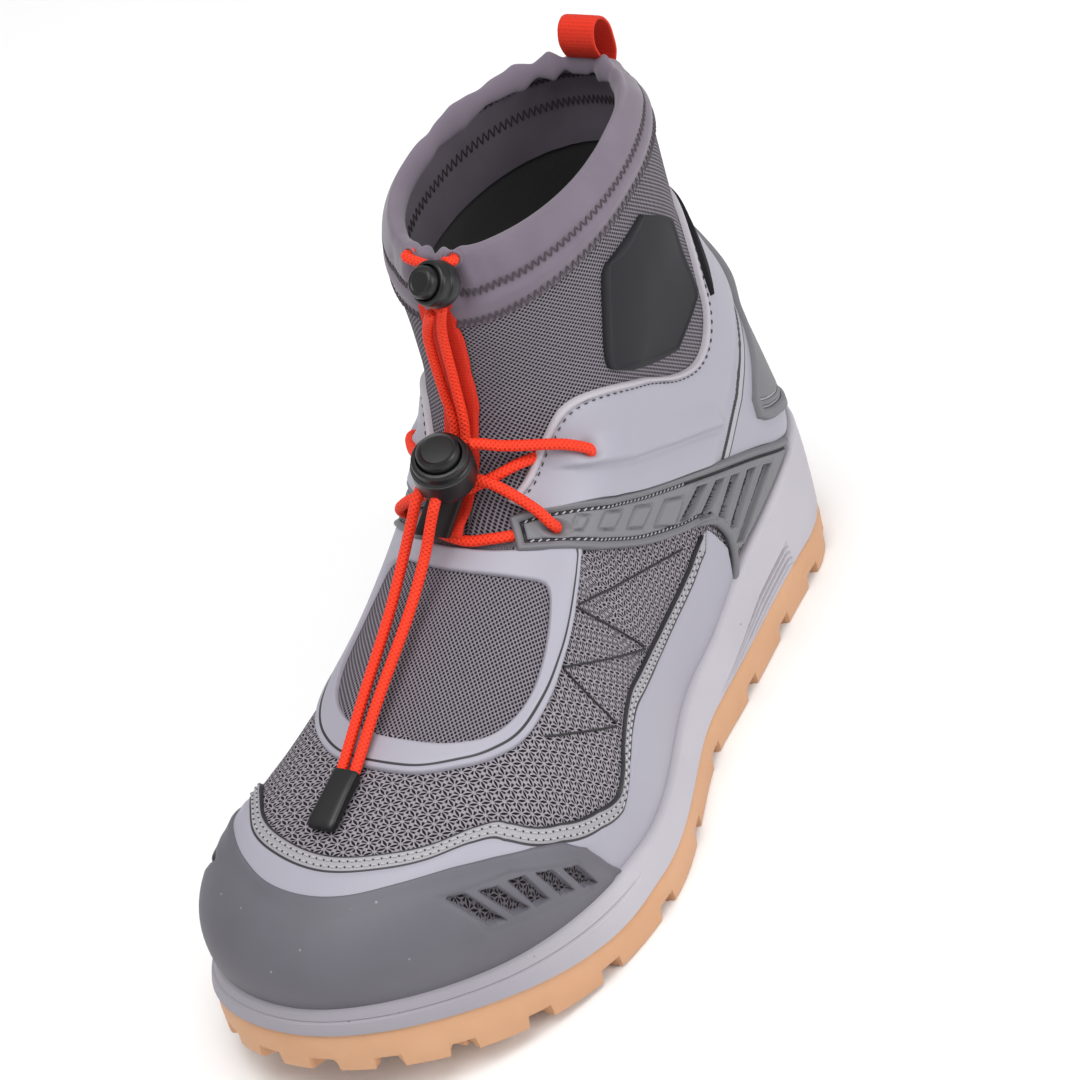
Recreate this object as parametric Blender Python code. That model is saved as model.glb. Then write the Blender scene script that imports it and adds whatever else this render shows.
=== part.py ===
"""Ankle-high wading shoe for the left foot, as separate solids.

Sizes in this file are millimetres from the back of the heel (x, towards the toe), the middle of the
heel (y, towards the outer side) and the floor (z). Meshes are written in metres, with the origin on
the floor under the middle of the sole's box.
"""

import math

import bmesh
import bpy
import numpy as np
from mathutils import Matrix, Vector

# Driving dimensions
SHOE_LENGTH = 310.0
HEEL_STATION = 45.0
WAIST_STATION = 125.0
BALL_STATION = 205.0
SWING_START = 150.0
TOE_SWING = 14.0
UPPER_WALL = 2.2
FIT_GAP = 0.4
OVERLAY_GAP = 0.75
COLUMNS = 48

# Side profile of the sole
TOE_SPRING = 17.5
SPRING_FROM = 215.0
HEEL_BEVEL = 3.5
BEVEL_TO = 26.0
OUTSOLE_HEEL = 15.0
OUTSOLE_TOE = 12.5
MIDSOLE_LEDGE = 3.6

# Height of the midsole's lip along the shoe
LIP_HEIGHTS = [
    # x, lip
    (0.0, 50.0),
    (30.0, 49.0),
    (58.0, 42.0),
    (85.0, 38.0),
    (112.0, 29.0),
    (150.0, 24.5),
    (205.0, 25.0),
    (260.0, 30.0),
    (310.0, 41.0),
]

# Relief of the midsole's side along the shoe: the shares of its height between which the ribs lie, how
# deep they are let in, and how far the half below them stands proud
RIB_COLUMNS = ("low", "high", "depth", "step")
MIDSOLE_RIBS = [
    # x, low, high, depth, step
    (0, 0.42, 0.56, 0, 0.3),
    (30, 0.42, 0.56, 0, 0.3),
    (50, 0.16, 0.74, 0, 0),
    (62, 0.13, 0.75, 1.9, 0),
    (80, 0.27, 0.69, 1.9, 0),
    (97, 0.40, 0.62, 1.3, 0),
    (122, 0.22, 0.42, 0.6, 0),
    (150, 0.32, 0.46, 0.3, 0.1),
    (215, 0.44, 0.52, 0, 0.4),
    (310, 0.44, 0.52, 0, 0.4),
]
RIB_COUNT = 3

# Outline of the sole in plan, and the levels of the upper from its feather edge to the top of the cuff.
# Each level is a closed loop: its ends in the side view, how far it sags between them, its half widths,
# the lengths over which its two ends round off, and how much sooner the outer side tapers.
LEVEL_COLUMNS = (
    "x_back", "x_front", "z_back", "z_front", "sag",
    "heel", "waist", "ball_outer", "ball_inner", "round_back", "round_front", "skew",
)
SOLE_LEVEL = (0, 310, 0, 0, 0, 42, 45, 61, 56, 44, 80, 0.25)
UPPER_LEVELS = [
    (9, 301, 31, 34, 12, 33.5, 36, 53, 50, 36, 72, 0.25),
    (6, 305, 43, 44, 10, 36, 38, 55, 52, 38, 72, 0.25),
    (5, 303, 55, 55, 6, 36.5, 38, 54, 51, 38, 68, 0.25),
    (7, 291, 69, 64, 4, 35, 37, 48.5, 46, 38, 60, 0.23),
    (9, 269, 81, 71, 2, 33.5, 36, 42.5, 40, 38, 51, 0.18),
    (11, 244, 92, 78, 0, 32, 34.5, 38, 36, 38, 45, 0.12),
    (14, 220, 102, 87, 0, 31, 33.5, 35, 33.5, 38, 41, 0.08),
    (17, 196, 112, 98, 0, 30.5, 33, 33.5, 33, 38, 41, 0),
    (22, 174, 122.5, 111.5, 0, 30.5, 32.5, 32.5, 32.5, 40, 44, 0),
    (27, 160, 134, 127, 0, 31, 33, 33, 33, 44, 50, 0),
    (31, 152, 147, 143.5, 0, 32.5, 35, 35, 35, 50, 56, 0),
    (33.5, 150, 165, 160, -2, 35, 37, 37, 37, 55, 58, 0),
    (34.5, 151.5, 187, 178, -5, 35, 36.5, 36.5, 36.5, 56, 56, 0),
    (38, 151, 198, 192, -3, 33.5, 35.5, 35.5, 35, 56, 56, 0),
    (46, 150, 206, 204, 0, 27, 28.5, 28.5, 28, 50, 50, 0),
]
CUFF_SEAM_LEVEL = 12.0
CUFF_ROLL_LEVEL = 13.55
CUFF_ROLL_RADIUS = 3.6
CUFF_WALL = 2.6

# Edges of the overlays on the outer side, as places in the side view (x, z). The inner side matches.
WING_TOP = [(165, 117), (158, 117), (144, 111), (120, 97), (94, 83), (63, 67), (46, 58), (35, 52.5)]
WING_LOW = [
    (172, 109), (162, 104), (134, 84), (112, 72), (97, 65), (88, 57), (86, 45), (72, 43), (52, 46),
    (37, 50.5),
]
PANEL_TOP = [
    (162, 120.8), (155, 126), (147, 134), (138, 141), (126, 139), (107, 129), (88, 116), (73, 109),
    (63, 110), (57, 118), (54, 130), (49, 142), (42, 150), (34, 152.5),
]
PANEL_LOW = [
    (159.5, 117.8), (144, 112.4), (120, 98.4), (94, 84.4), (75, 74.6), (57, 65.4), (51.5, 66.5),
    (47, 80), (41, 92), (35, 101), (30.5, 114), (28.5, 128), (30, 141),
]
BADGE_FRONT = [(119, 141), (121, 147), (116, 173), (111, 177)]
BADGE_BACK = [(80, 120), (63, 125), (58, 130), (66, 158), (71, 165), (90, 179)]

# Edges of the vamp frame in plan (x, y), once around from the top of its outer arm
FRAME_OUTLINE = [
    (175.5, 9), (170, 24.5), (173.5, 30), (180, 33.3), (190, 35), (206, 34), (220, 31), (232, 24),
    (242, 6), (241, -17), (232, -31), (218, -37), (202, -36), (187, -34.5), (179, -32.5), (173.5, -29),
    (170, -23.5), (175.5, -9),
]
FRAME_WINDOW = [
    (181.5, 10), (178.5, 20.5), (181, 26), (185, 28.5), (191, 29.5), (205, 29), (216, 26), (225, 19),
    (231, 4), (231, -14), (225, -25), (214, -31), (201, -31), (190, -30), (184, -28.5), (180.5, -25.5),
    (178.5, -19.5), (181.5, -10),
]

# Bands across the toe and the heel: turn from the toe or heel in degrees, and heights
CAP_TOP = [(0, 66), (10, 66), (22, 66), (33, 65), (42, 62.5), (50, 58), (57, 51), (62, 40), (64.5, 31)]
PANEL_RIM = [
    (0, 70), (14, 70), (26, 69.5), (36, 69), (44, 66.5), (56, 58), (64, 52), (69, 48.5), (73, 54),
    (77, 61), (84, 60.5), (92, 58), (104, 56.5), (112, 57),
]
COUNTER_BAND = [
    (0, 53, 138), (9, 53, 136), (18, 53.5, 126), (26, 57, 112), (33, 61, 101), (39, 65, 91), (43.5, 69, 78),
]

# Slots: the ends of the first and last one in the side view (x, z), outer side
SLOT_COUNT = 5
CAP_SLOT_FIRST = ((271, 59), (265, 47))
CAP_SLOT_LAST = ((241, 47), (234, 36))
CAP_SLOT_WIDTH = 4.2
WING_SLOT_FIRST = ((96, 76), (107, 73))
WING_SLOT_LAST = ((54, 56), (78, 48.5))
WING_SLOT_WIDTH = 3.4

# Tread
RIM_WIDTH = 13.0
TREAD_DEPTH = 5.5
NOTCH_COUNT = 28
NOTCH_WIDTH = 8.0
NOTCH_HEIGHT = 4.5
LUG_PITCH = 31.0
LUG_ROWS = (-34.0, 0.0, 34.0)
LUG_LENGTH = 23.0
LUG_REACH = 13.0
LUG_BAR = 9.0
LUG_SPREAD = 92.0

# Cords on the upper: turn in degrees, level, and how far the cord's middle stands off the surface
LACE_RADIUS = 1.9
CUFF_CORD_RADIUS = 1.6
LACE_BAR = [(164.5, 8.2, 2.3), (171, 8.19, 2.3), (180, 8.16, 2.3), (189, 8.17, 2.3), (195, 8.17, 2.3)]
LACE_OVER = [
    (146.8, 7.97, 5.4), (149.3, 8.19, 5.7), (156.5, 8.58, 6.0), (165.8, 8.86, 6.3), (174.5, 8.9, 6.6),
    (187, 8.95, 6.0), (195.5, 9.02, 4.8), (200.5, 9.05, 3.3),
]
LACE_UNDER = [
    (159.5, 9.05, 3.0), (164.5, 9.02, 4.2), (171.2, 8.86, 5.0), (180, 8.7, 5.2), (190.5, 8.5, 5.6),
    (202.8, 8.33, 6.4), (212, 8.07, 6.0), (216, 7.86, 5.6),
]
LACE_REIN_OUTER = [
    (173.2, 9.7, 9.3), (165.5, 9.58, 6.4), (156.5, 9.48, 5.6), (144, 9.27, 5.8), (134.5, 8.95, 5.6),
]
LACE_REIN_INNER = [
    (192.5, 9.7, 8.2), (198, 9.58, 6.6), (206, 9.45, 5.8), (216, 9.25, 5.8), (225.5, 8.95, 5.6),
]

# Hanging cords, as places their middles pass
LACE_TAIL_OUTER = [
    (176.8, -4, 127), (178.6, -6.8, 123.2), (185, -10.2, 114.2), (200, -11.6, 102.6), (225, -11.3, 91.0),
    (245.6, -10.1, 81.2),
]
LACE_TAIL_INNER = [
    (176.8, -11, 127), (178.6, -13.2, 123.4), (185, -16, 113.8), (200, -16.3, 102.4), (225, -15.7, 90.6),
    (245.6, -14.8, 80.9),
]
CUFF_CORD_OUTER = [(160.5, 6, 191.5), (157, 1, 179.6), (154.5, -1.4, 158.4), (156.3, -0.8, 144)]
CUFF_CORD_INNER = [(160.5, 1.5, 189.5), (157, -4.4, 177.3), (154.3, -6.3, 156), (155.9, -4.6, 144)]
CUFF_HOLE_TURN = 14.5
CUFF_HOLE_LEVEL = 13.75
CLIP_TOP = (246.8, -12.4, 80.4)
CLIP_LOW = (266.3, -13.4, 74.9)

# Cord locks: where, which way, and their sizes
LACE_LOCK_AT = (171.2, -2.0, 138.6)
LACE_LOCK_AXIS = (0.28, 0.14, 0.95)
LACE_LOCK_SIZE = {"body": 9.8, "ring": 8.8, "bore": 7.1, "button": 6.7, "height": 14.5, "depth": 8.0}
CUFF_LOCK_AT = (159.6, 5.8, 199.4)
CUFF_LOCK_AXIS = (0.745, -0.26, 0.615)
CUFF_LOCK_SIZE = {"body": 7.2, "ring": 6.8, "bore": 5.4, "button": 5.0, "height": 9.4, "depth": 6.4}
BUTTON_STANDS = 3.2
BUTTON_CLEAR = 3.8

# Webbing
TAPE_WIDTH = 12.5
TAPE_THICKNESS = 1.2
TAPE_LEAN = (-1.5, -5.5)
LOOP_WIDTH = 12.5
LOOP_THICKNESS = 1.3
TAB_PATH = [(177.4, -8.8, 116.6), (174.8, -7, 121), (171.8, -5.2, 125.5), (169.4, -3.8, 129.6)]
TAB_WIDTH = 12.0
TAB_THICKNESS = 1.6


def smooth_step(share):
    """0 to 1 with level ends."""
    share = np.clip(share, 0.0, 1.0)
    return share * share * (3.0 - 2.0 * share)


def through_rows(rows, at):
    """Smooth curve through the rows of a table, at row number `at` (Catmull-Rom)."""
    rows = np.asarray(rows, float)
    at = np.clip(np.asarray(at, float), 0.0, len(rows) - 1.0)
    first = np.minimum(np.floor(at).astype(int), len(rows) - 2)
    share = (at - first)[..., None] if rows.ndim > 1 else at - first
    before, start, end, after = (
        rows[np.clip(first + step, 0, len(rows) - 1)] for step in (-1, 0, 1, 2)
    )
    return 0.5 * (
        2.0 * start
        + (end - before) * share
        + (2.0 * before - 5.0 * start + 4.0 * end - after) * share**2
        + (3.0 * start - before - 3.0 * end + after) * share**3
    )


def along(rows, count):
    """Even steps along a smooth curve through the rows of a table."""
    dense = through_rows(rows, np.linspace(0.0, len(rows) - 1.0, 600))
    length = np.append(0.0, np.cumsum(np.linalg.norm(np.diff(dense, axis=0), axis=1)))
    steps = np.linspace(0.0, length[-1], count)
    return np.column_stack([np.interp(steps, length, column) for column in dense.T])


def table_at(rows, column, at):
    """A column of a table as a smooth function of its first column."""
    stations = np.array([row[0] for row in rows], float)
    place = np.interp(at, stations, np.arange(len(stations)))
    return through_rows([row[column] for row in rows], place)


def lip_height(x):
    return table_at(LIP_HEIGHTS, 1, x)


def ground_height(x):
    """Underside of the tread: flat, turned up at the toe and a little at the heel."""
    toe = np.clip((x - SPRING_FROM) / (SHOE_LENGTH - SPRING_FROM), 0.0, 1.0)
    heel = np.clip((BEVEL_TO - x) / BEVEL_TO, 0.0, 1.0)
    return TOE_SPRING * toe**2 + HEEL_BEVEL * heel**2


def join_height(x):
    """Where the outsole meets the midsole."""
    share = smooth_step(x / SHOE_LENGTH)
    return 0.8 * ground_height(x) + OUTSOLE_HEEL + (OUTSOLE_TOE - OUTSOLE_HEEL) * share


def level_values(level):
    """The columns of UPPER_LEVELS at a level that may lie between rows."""
    return dict(zip(LEVEL_COLUMNS, np.moveaxis(through_rows(UPPER_LEVELS, level), -1, 0)))


def rounded_end(distance, length):
    """Share of the full width at a distance from an elliptical end."""
    inside = np.clip(1.0 - distance / length, 0.0, 1.0)
    return np.sqrt(1.0 - inside**2)


def middle_line(x):
    """The shoe's middle in plan: straight at the heel, turned to the big toe in front."""
    share = np.clip((x - SWING_START) / (SHOE_LENGTH - SWING_START), 0.0, 1.0)
    return -TOE_SWING * share**2


def half_width(x, level, outer):
    """Half width of a level's loop at x, on its outer or inner side."""
    to_waist = smooth_step((x - HEEL_STATION) / (WAIST_STATION - HEEL_STATION))
    to_ball = smooth_step((x - WAIST_STATION) / (BALL_STATION - WAIST_STATION))
    ball = np.where(outer, level["ball_outer"], level["ball_inner"])
    taper = np.where(outer, 1.0 + level["skew"], 1.0 - level["skew"])
    width = level["heel"] + (level["waist"] - level["heel"]) * to_waist
    width = width + (ball - level["waist"]) * to_ball
    back = rounded_end(x - level["x_back"], level["round_back"])
    front = rounded_end(level["x_front"] - x, level["round_front"] * taper)
    return width * back * front


def loop_plan(turn, level):
    """Plan position on a loop: turn 0 is the heel, pi the toe, and the outer side comes first."""
    share = (1.0 - np.cos(turn)) / 2.0
    x = level["x_back"] + (level["x_front"] - level["x_back"]) * share
    outer = np.sin(turn) >= 0.0
    side = np.where(outer, 1.0, -1.0)
    return share, x, middle_line(x) + side * half_width(x, level, outer)


def loop_height(share, level):
    """Height of a loop at its share of the way from the heel to the toe."""
    height = level["z_back"] + (level["z_front"] - level["z_back"]) * share
    return height - level["sag"] * 4.0 * share * (1.0 - share)


def skin(turn, at):
    """The upper's outer surface at a turn around it and a level above its feather edge."""
    turn, at = np.broadcast_arrays(np.asarray(turn, float), np.asarray(at, float))
    level = level_values(at)
    share, x, y = loop_plan(turn, level)
    return np.stack([x, y, loop_height(share, level)], axis=-1)


def skin_normal(turn, at):
    """Outward normal of the upper's surface, from differences."""
    step = 1e-3
    top = len(UPPER_LEVELS) - 1.0
    at = np.asarray(at, float)
    around = skin(turn + step, at) - skin(turn - step, at)
    upward = skin(turn, np.clip(at + step, 0.0, top)) - skin(turn, np.clip(at - step, 0.0, top))
    normal = np.cross(upward, around)
    return normal / np.linalg.norm(normal, axis=-1, keepdims=True)


def offset_skin(turn, at, offset):
    """The upper's surface moved out by an offset, or in by a negative one."""
    turn, at, offset = np.broadcast_arrays(turn, at, np.asarray(offset, float))
    return skin(turn, at) + skin_normal(turn, at) * offset[..., None]


def find_level(is_above, shape):
    """The level where a test turns from false to true, found by halving."""
    low, high = np.zeros(shape), np.full(shape, len(UPPER_LEVELS) - 1.0)
    for _ in range(40):
        middle = (low + high) / 2.0
        above = is_above(middle)
        low, high = np.where(above, low, middle), np.where(above, middle, high)
    return (low + high) / 2.0


def level_where(turn, height):
    """The level at which the upper's surface has a height, at a turn around it."""
    turn, height = np.broadcast_arrays(np.asarray(turn, float), np.asarray(height, float))
    return find_level(lambda at: skin(turn, at)[..., 2] > height, turn.shape)


def loop_share(x, level):
    """How far x lies from the heel end to the toe end of a loop."""
    return np.clip((x - level["x_back"]) / (level["x_front"] - level["x_back"]), 0.0, 1.0)


def turn_at(x, at, outer):
    """The turn at which a level's loop passes x on one side."""
    turn = np.arccos(1.0 - 2.0 * loop_share(x, level_values(at)))
    return np.where(outer, turn, 2.0 * math.pi - turn)


def on_side(places, outer):
    """Turn and level of places in the side view (x, z) on one side of the upper."""
    x, z = np.asarray(places, float).T

    def is_above(at):
        level = level_values(at)
        return loop_height(loop_share(x, level), level) > z

    at = find_level(is_above, x.shape)
    return turn_at(x, at, outer), at


def on_top(places):
    """Turn and level of places in plan (x, y) on the vamp."""
    x, y = np.asarray(places, float).T
    aside = y - middle_line(x)
    at = find_level(lambda at: half_width(x, level_values(at), aside > 0.0) < np.abs(aside), x.shape)
    return turn_at(x, at, aside > 0.0), at


def sole_edge(turn, grow):
    """Plan outline of the sole, grown by a distance along its own normal."""
    level = {name: float(value) for name, value in zip(LEVEL_COLUMNS, SOLE_LEVEL)}
    step = 1e-3
    points = np.stack(loop_plan(turn, level)[1:], axis=-1)
    tangent = np.stack(loop_plan(turn + step, level)[1:], axis=-1)
    tangent = tangent - np.stack(loop_plan(turn - step, level)[1:], axis=-1)
    normal = np.stack([-tangent[..., 1], tangent[..., 0]], axis=-1)
    normal = normal / np.linalg.norm(normal, axis=-1, keepdims=True)
    return points + normal * grow


def turns(count=COLUMNS):
    return np.arange(count) * 2.0 * math.pi / count


def sole_centre():
    """Middle of the sole's box in plan, which is the part's origin."""
    outline = sole_edge(turns(2000), 0.0)
    return np.append((outline.min(axis=0) + outline.max(axis=0)) / 2.0, 0.0)


def to_frame(points):
    """This file's millimetres as metres in the part's frame."""
    return (np.asarray(points, float) - sole_centre()) * 0.001


def material(name, colour, roughness, metallic=0.0):
    made = bpy.data.materials.new(name)
    made.use_nodes = True
    shader = made.node_tree.nodes["Principled BSDF"]
    shader.inputs["Base Color"].default_value = (*colour, 1.0)
    shader.inputs["Roughness"].default_value = roughness
    shader.inputs["Metallic"].default_value = metallic
    return made


def link(name, data, finish):
    made = bpy.data.objects.new(name, data)
    made.data.materials.append(finish)
    bpy.context.scene.collection.objects.link(made)
    return made


def outward_mesh(name, points, faces, split):
    """A mesh with its faces turned outwards and split into triangles if asked, from points in metres."""
    mesh = bpy.data.meshes.new(name)
    mesh.from_pydata(np.asarray(points, float).tolist(), [], faces)
    work = bmesh.new()
    work.from_mesh(mesh)
    bmesh.ops.recalc_face_normals(work, faces=work.faces)
    if split:
        bmesh.ops.triangulate(work, faces=work.faces)
    work.to_mesh(mesh)
    work.free()
    return mesh


def solid(name, points, faces, finish, split=True):
    """An object from points in this file's millimetres."""
    return link(name, outward_mesh(name, to_frame(points), faces, split), finish)


def combine(body, tool, operation):
    """Cuts a tool from a body or joins it on, and hides the tool."""
    change = body.modifiers.new(tool.name, "BOOLEAN")
    change.object = tool
    change.operation = operation
    tool.hide_render = True
    tool.display_type = "WIRE"


def ring_faces(rows, columns, closed):
    """Quads of loops stacked row by row. A closed stack joins its last loop to its first."""
    faces = []
    for row in range(rows if closed else rows - 1):
        here, above = row * columns, (row + 1) % rows * columns
        for column in range(columns):
            right = (column + 1) % columns
            faces.append((here + column, here + right, above + right, above + column))
    return faces


def ladder_faces(first, columns):
    """Fills a loop with rungs between points at the same x on its two sides."""
    faces = []
    for rung in range(columns // 2):
        corners = (rung, rung + 1, columns - rung - 1, (columns - rung) % columns)
        faces.append(tuple(first + corner for corner in dict.fromkeys(corners)))
    return faces


def stacked_solid(name, loops, finish, split=True):
    """A solid from loops stacked bottom to top, with its first and last loop filled."""
    columns = len(loops[0])
    faces = ring_faces(len(loops), columns, closed=False)
    faces += ladder_faces(0, columns)
    faces += ladder_faces((len(loops) - 1) * columns, columns)
    return solid(name, np.concatenate(loops), faces, finish, split)


def wall_solid(name, outside, inside, finish):
    """A hollow wall from loops stacked bottom to top outside, and down again inside."""
    loops = list(outside) + list(inside)
    faces = ring_faces(len(loops), len(loops[0]), closed=True)
    return solid(name, np.concatenate(loops), faces, finish)


def ruled(first_edge, second_edge, rows):
    """A grid of turns and levels between two edges that hold as many places each."""
    share = np.linspace(0.0, 1.0, rows)[:, None]
    return tuple(a + (b - a) * share for a, b in zip(first_edge, second_edge))


def overlay(name, grid, thickness, finish, ring=False, gap=OVERLAY_GAP):
    """A sheet laid on the upper over a grid of turns and levels, thinner along its edges."""
    turn, at = grid
    rows, columns = turn.shape
    rim = np.zeros(turn.shape, bool)
    rim[[0, -1], :] = True
    if not ring:
        rim[:, [0, -1]] = True
    outside = offset_skin(turn, at, gap + np.where(rim, 0.6, 1.0) * thickness)
    inside = offset_skin(turn, at, gap)
    if ring:
        return wall_solid(name, outside, inside[::-1], finish)
    count = rows * columns
    faces = []
    for row in range(rows - 1):
        for column in range(columns - 1):
            corner = row * columns + column
            quad = (corner, corner + 1, corner + columns + 1, corner + columns)
            faces.append(quad)
            faces.append(tuple(count + place for place in quad[::-1]))
    border = [(0, column) for column in range(columns - 1)]
    border += [(row, columns - 1) for row in range(rows - 1)]
    border += [(rows - 1, column) for column in range(columns - 1, 0, -1)]
    border += [(row, 0) for row in range(rows - 1, 0, -1)]
    border = [row * columns + column for row, column in border]
    for here, after in zip(border, border[1:] + border[:1]):
        faces.append((here, count + here, count + after, after))
    return solid(name, np.concatenate([outside, inside]).reshape(-1, 3), faces, finish)


def side_overlay(name, low, top, outer, rows, columns, thickness, finish):
    """An overlay between two edges given in the side view."""
    edges = (on_side(along(edge, columns), outer) for edge in (low, top))
    return overlay(name, ruled(*edges, rows), thickness, finish)


def tube(name, route, radius, finish, count, sides=6):
    """A cord with filled ends along a smooth curve through its route."""
    path = along(route, count)
    tangent = np.gradient(path, axis=0)
    tangent /= np.linalg.norm(tangent, axis=1, keepdims=True)
    first = np.cross(tangent, (0.0, 0.3, 1.0))
    first /= np.linalg.norm(first, axis=1, keepdims=True)
    second = np.cross(tangent, first)
    angle = np.arange(sides)[:, None] * 2.0 * math.pi / sides
    loops = [at + radius * (np.cos(angle) * a + np.sin(angle) * b) for at, a, b in zip(path, first, second)]
    faces = ring_faces(count, sides, closed=False)
    faces.append(tuple(range(sides)))
    faces.append(tuple(range((count - 1) * sides, count * sides)))
    return solid(name, np.concatenate(loops), faces, finish)


def ribbon(name, path, width, thickness, finish):
    """Flat webbing along a path, with its width across the shoe."""
    middle, path = np.asarray(path, float)[:, 1], np.asarray(path, float)[:, [0, 2]]
    tangent = np.gradient(path, axis=0)
    tangent /= np.linalg.norm(tangent, axis=1, keepdims=True)
    aside = np.column_stack([-tangent[:, 1], tangent[:, 0]]) * thickness / 2.0
    section = np.concatenate([path + aside, (path - aside)[::-1]])
    count = len(section)
    middle = np.append(middle, middle[::-1])
    points = [(x, y + side * width / 2.0, z) for side in (-1.0, 1.0) for (x, z), y in zip(section, middle)]
    faces = []
    for step in range(len(path) - 1):
        quad = (step, step + 1, count - step - 2, count - step - 1)
        faces.append(quad)
        faces.append(tuple(count + place for place in quad[::-1]))
    for place in range(count):
        after = (place + 1) % count
        faces.append((place, after, count + after, count + place))
    return solid(name, points, faces, finish)


def prism(outline, low, high):
    """Points and faces of an upright prism on a plan outline, with heights as functions of x."""
    outline = np.asarray(outline, float)
    count = len(outline)
    bottom = np.column_stack([outline, low(outline[:, 0])])
    top = np.column_stack([outline, high(outline[:, 0])])
    faces = [tuple(range(count)), tuple(range(2 * count - 1, count - 1, -1))]
    faces += [(k, (k + 1) % count, count + (k + 1) % count, count + k) for k in range(count)]
    return np.concatenate([bottom, top]), faces


def gather(name, shapes, finish):
    """One object from several separate shapes."""
    points, faces = [], []
    for shape_points, shape_faces in shapes:
        faces += [tuple(len(points) + place for place in face) for face in shape_faces]
        points += list(shape_points)
    return solid(name, points, faces, finish, split=False)


def sole_loop(turn, grow, height):
    """A loop on the sole's outline, grown in plan, at a height that is a function of x."""
    plan = sole_edge(turn, grow)
    return np.column_stack([plan, height(plan[:, 0])])


def side_notches(finish):
    """Wedges that cut the rim of the tread into blocks."""
    shapes = []
    for turn in (np.arange(NOTCH_COUNT) + 0.5) * 2.0 * math.pi / NOTCH_COUNT:
        edge = sole_edge(np.array([turn]), 0.0)[0]
        outward = sole_edge(np.array([turn]), 1.0)[0] - edge
        half = np.array([-outward[1], outward[0]]) * NOTCH_WIDTH / 2.0
        inner, far = edge - outward * RIM_WIDTH * 0.62, edge + outward * 6.0
        outline = [inner - half * 0.5, inner + half * 0.5, far + half * 1.5, far - half * 1.5]
        below, above = lambda x: ground_height(x) - 5.0, lambda x: ground_height(x) + NOTCH_HEIGHT
        shapes.append(prism(outline, below, above))
    return gather("outsole notches", shapes, finish)


def tread_lugs(finish):
    """Z-shaped lugs in staggered rows between the rim blocks."""
    half, bar, reach = LUG_LENGTH / 2.0, LUG_BAR, LUG_REACH
    zed = np.array([
        (half, -reach), (half, bar / 2.0), (-half + bar, bar / 2.0), (-half + bar, reach),
        (-half, reach), (-half, -bar / 2.0), (half - bar, -bar / 2.0), (half - bar, -reach),
    ])
    inner = sole_edge(turns(400), -RIM_WIDTH)
    shapes = []
    for row, across in enumerate(LUG_ROWS):
        for step in range(int(SHOE_LENGTH / LUG_PITCH)):
            x = LUG_PITCH * (step + 0.75 + 0.5 * (row % 2))
            near = inner[np.abs(inner[:, 0] - x) < LUG_LENGTH, 1]
            if not 24.0 < x < 286.0 or not len(near):
                continue
            scale = min(1.0, (near.max() - near.min()) / LUG_SPREAD)
            outline = zed * (1.0, scale) + (x, across * scale + middle_line(x))
            shapes.append(prism(outline, ground_height, lambda x: ground_height(x) + TREAD_DEPTH + 1.0))
    return gather("outsole lugs", shapes, finish)


def make_outsole(finish):
    turn = turns(40)
    loops = [
        sole_loop(turn, -RIM_WIDTH - 1.0, lambda x: ground_height(x) + TREAD_DEPTH),
        sole_loop(turn, -RIM_WIDTH, ground_height),
        sole_loop(turn, -1.0, ground_height),
        sole_loop(turn, 0.0, lambda x: ground_height(x) + 3.0),
        sole_loop(turn, -0.5, join_height),
    ]
    outsole = stacked_solid("outsole", loops, finish, split=False)
    combine(outsole, tread_lugs(finish), "UNION")
    combine(outsole, side_notches(finish), "DIFFERENCE")


def lip_level(turn):
    return level_where(turn, lip_height(skin(turn, 1.0)[..., 0]))


def make_midsole(finish):
    """Cup for the upper, with ribs let into each side at the heel and a step around the rest."""
    turn = turns()
    lip = lip_level(turn)
    low = sole_loop(turn, 0.0, lambda x: join_height(x) + FIT_GAP)
    high = offset_skin(turn, lip, MIDSOLE_LEDGE)
    outward = skin_normal(turn, lip)
    stations = [row[0] for row in MIDSOLE_RIBS]
    rib = {
        name: np.interp(low[:, 0], stations, [row[place] for row in MIDSOLE_RIBS])
        for place, name in enumerate(RIB_COLUMNS, 1)
    }

    def between(share, grow):
        share, grow = np.broadcast_to(share, turn.shape), np.broadcast_to(grow, turn.shape)
        return low + (high - low) * share[:, None] + outward * grow[:, None]

    loops = [
        sole_loop(turn, -1.5, lambda x: join_height(x) + FIT_GAP),
        between(0.08, 0.0),
    ]
    lines = 2 * RIB_COUNT + 2
    for line in range(lines + 1):
        share = rib["low"] + (rib["high"] - rib["low"]) * line / lines
        if line in (0, lines):
            let_in = 0.0
        else:
            let_in = 1.0 if line % 2 else 0.35
        proud = 1.0 if 2 * line < lines else -1.0
        loops.append(between(share, rib["step"] * proud - rib["depth"] * let_in))
    loops += [
        between(0.92, 0.0),
        between(1.0, -0.8),
        offset_skin(turn, lip, FIT_GAP),
        offset_skin(turn, lip * 0.5, FIT_GAP),
        offset_skin(turn, 0.0, FIT_GAP) - [0.0, 0.0, FIT_GAP],
    ]
    stacked_solid("midsole", loops, finish)


def make_insole(finish):
    turn = turns()
    inset = -UPPER_WALL - FIT_GAP
    bottom = offset_skin(turn, 0.0, inset)
    bottom[:, 2] = skin(turn, 0.0)[:, 2]
    top = offset_skin(turn, 0.35, inset)
    top[:, 2] = bottom[:, 2] + 4.0
    stacked_solid("insole", [bottom, top], finish)


def make_upper(finish):
    """The upper's wall, with closer loops outside where the neck curves in."""
    turn = turns()
    levels = np.arange(0.0, CUFF_SEAM_LEVEL + 0.01, 1.0)
    outside = [offset_skin(turn, at, 0.0) for at in np.sort(np.append(levels, [6.5, 7.5, 8.5, 9.5, 10.5]))]
    inside = [offset_skin(turn, at, -UPPER_WALL) for at in levels[::-1]]
    wall_solid("upper", outside, inside, finish)


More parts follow.
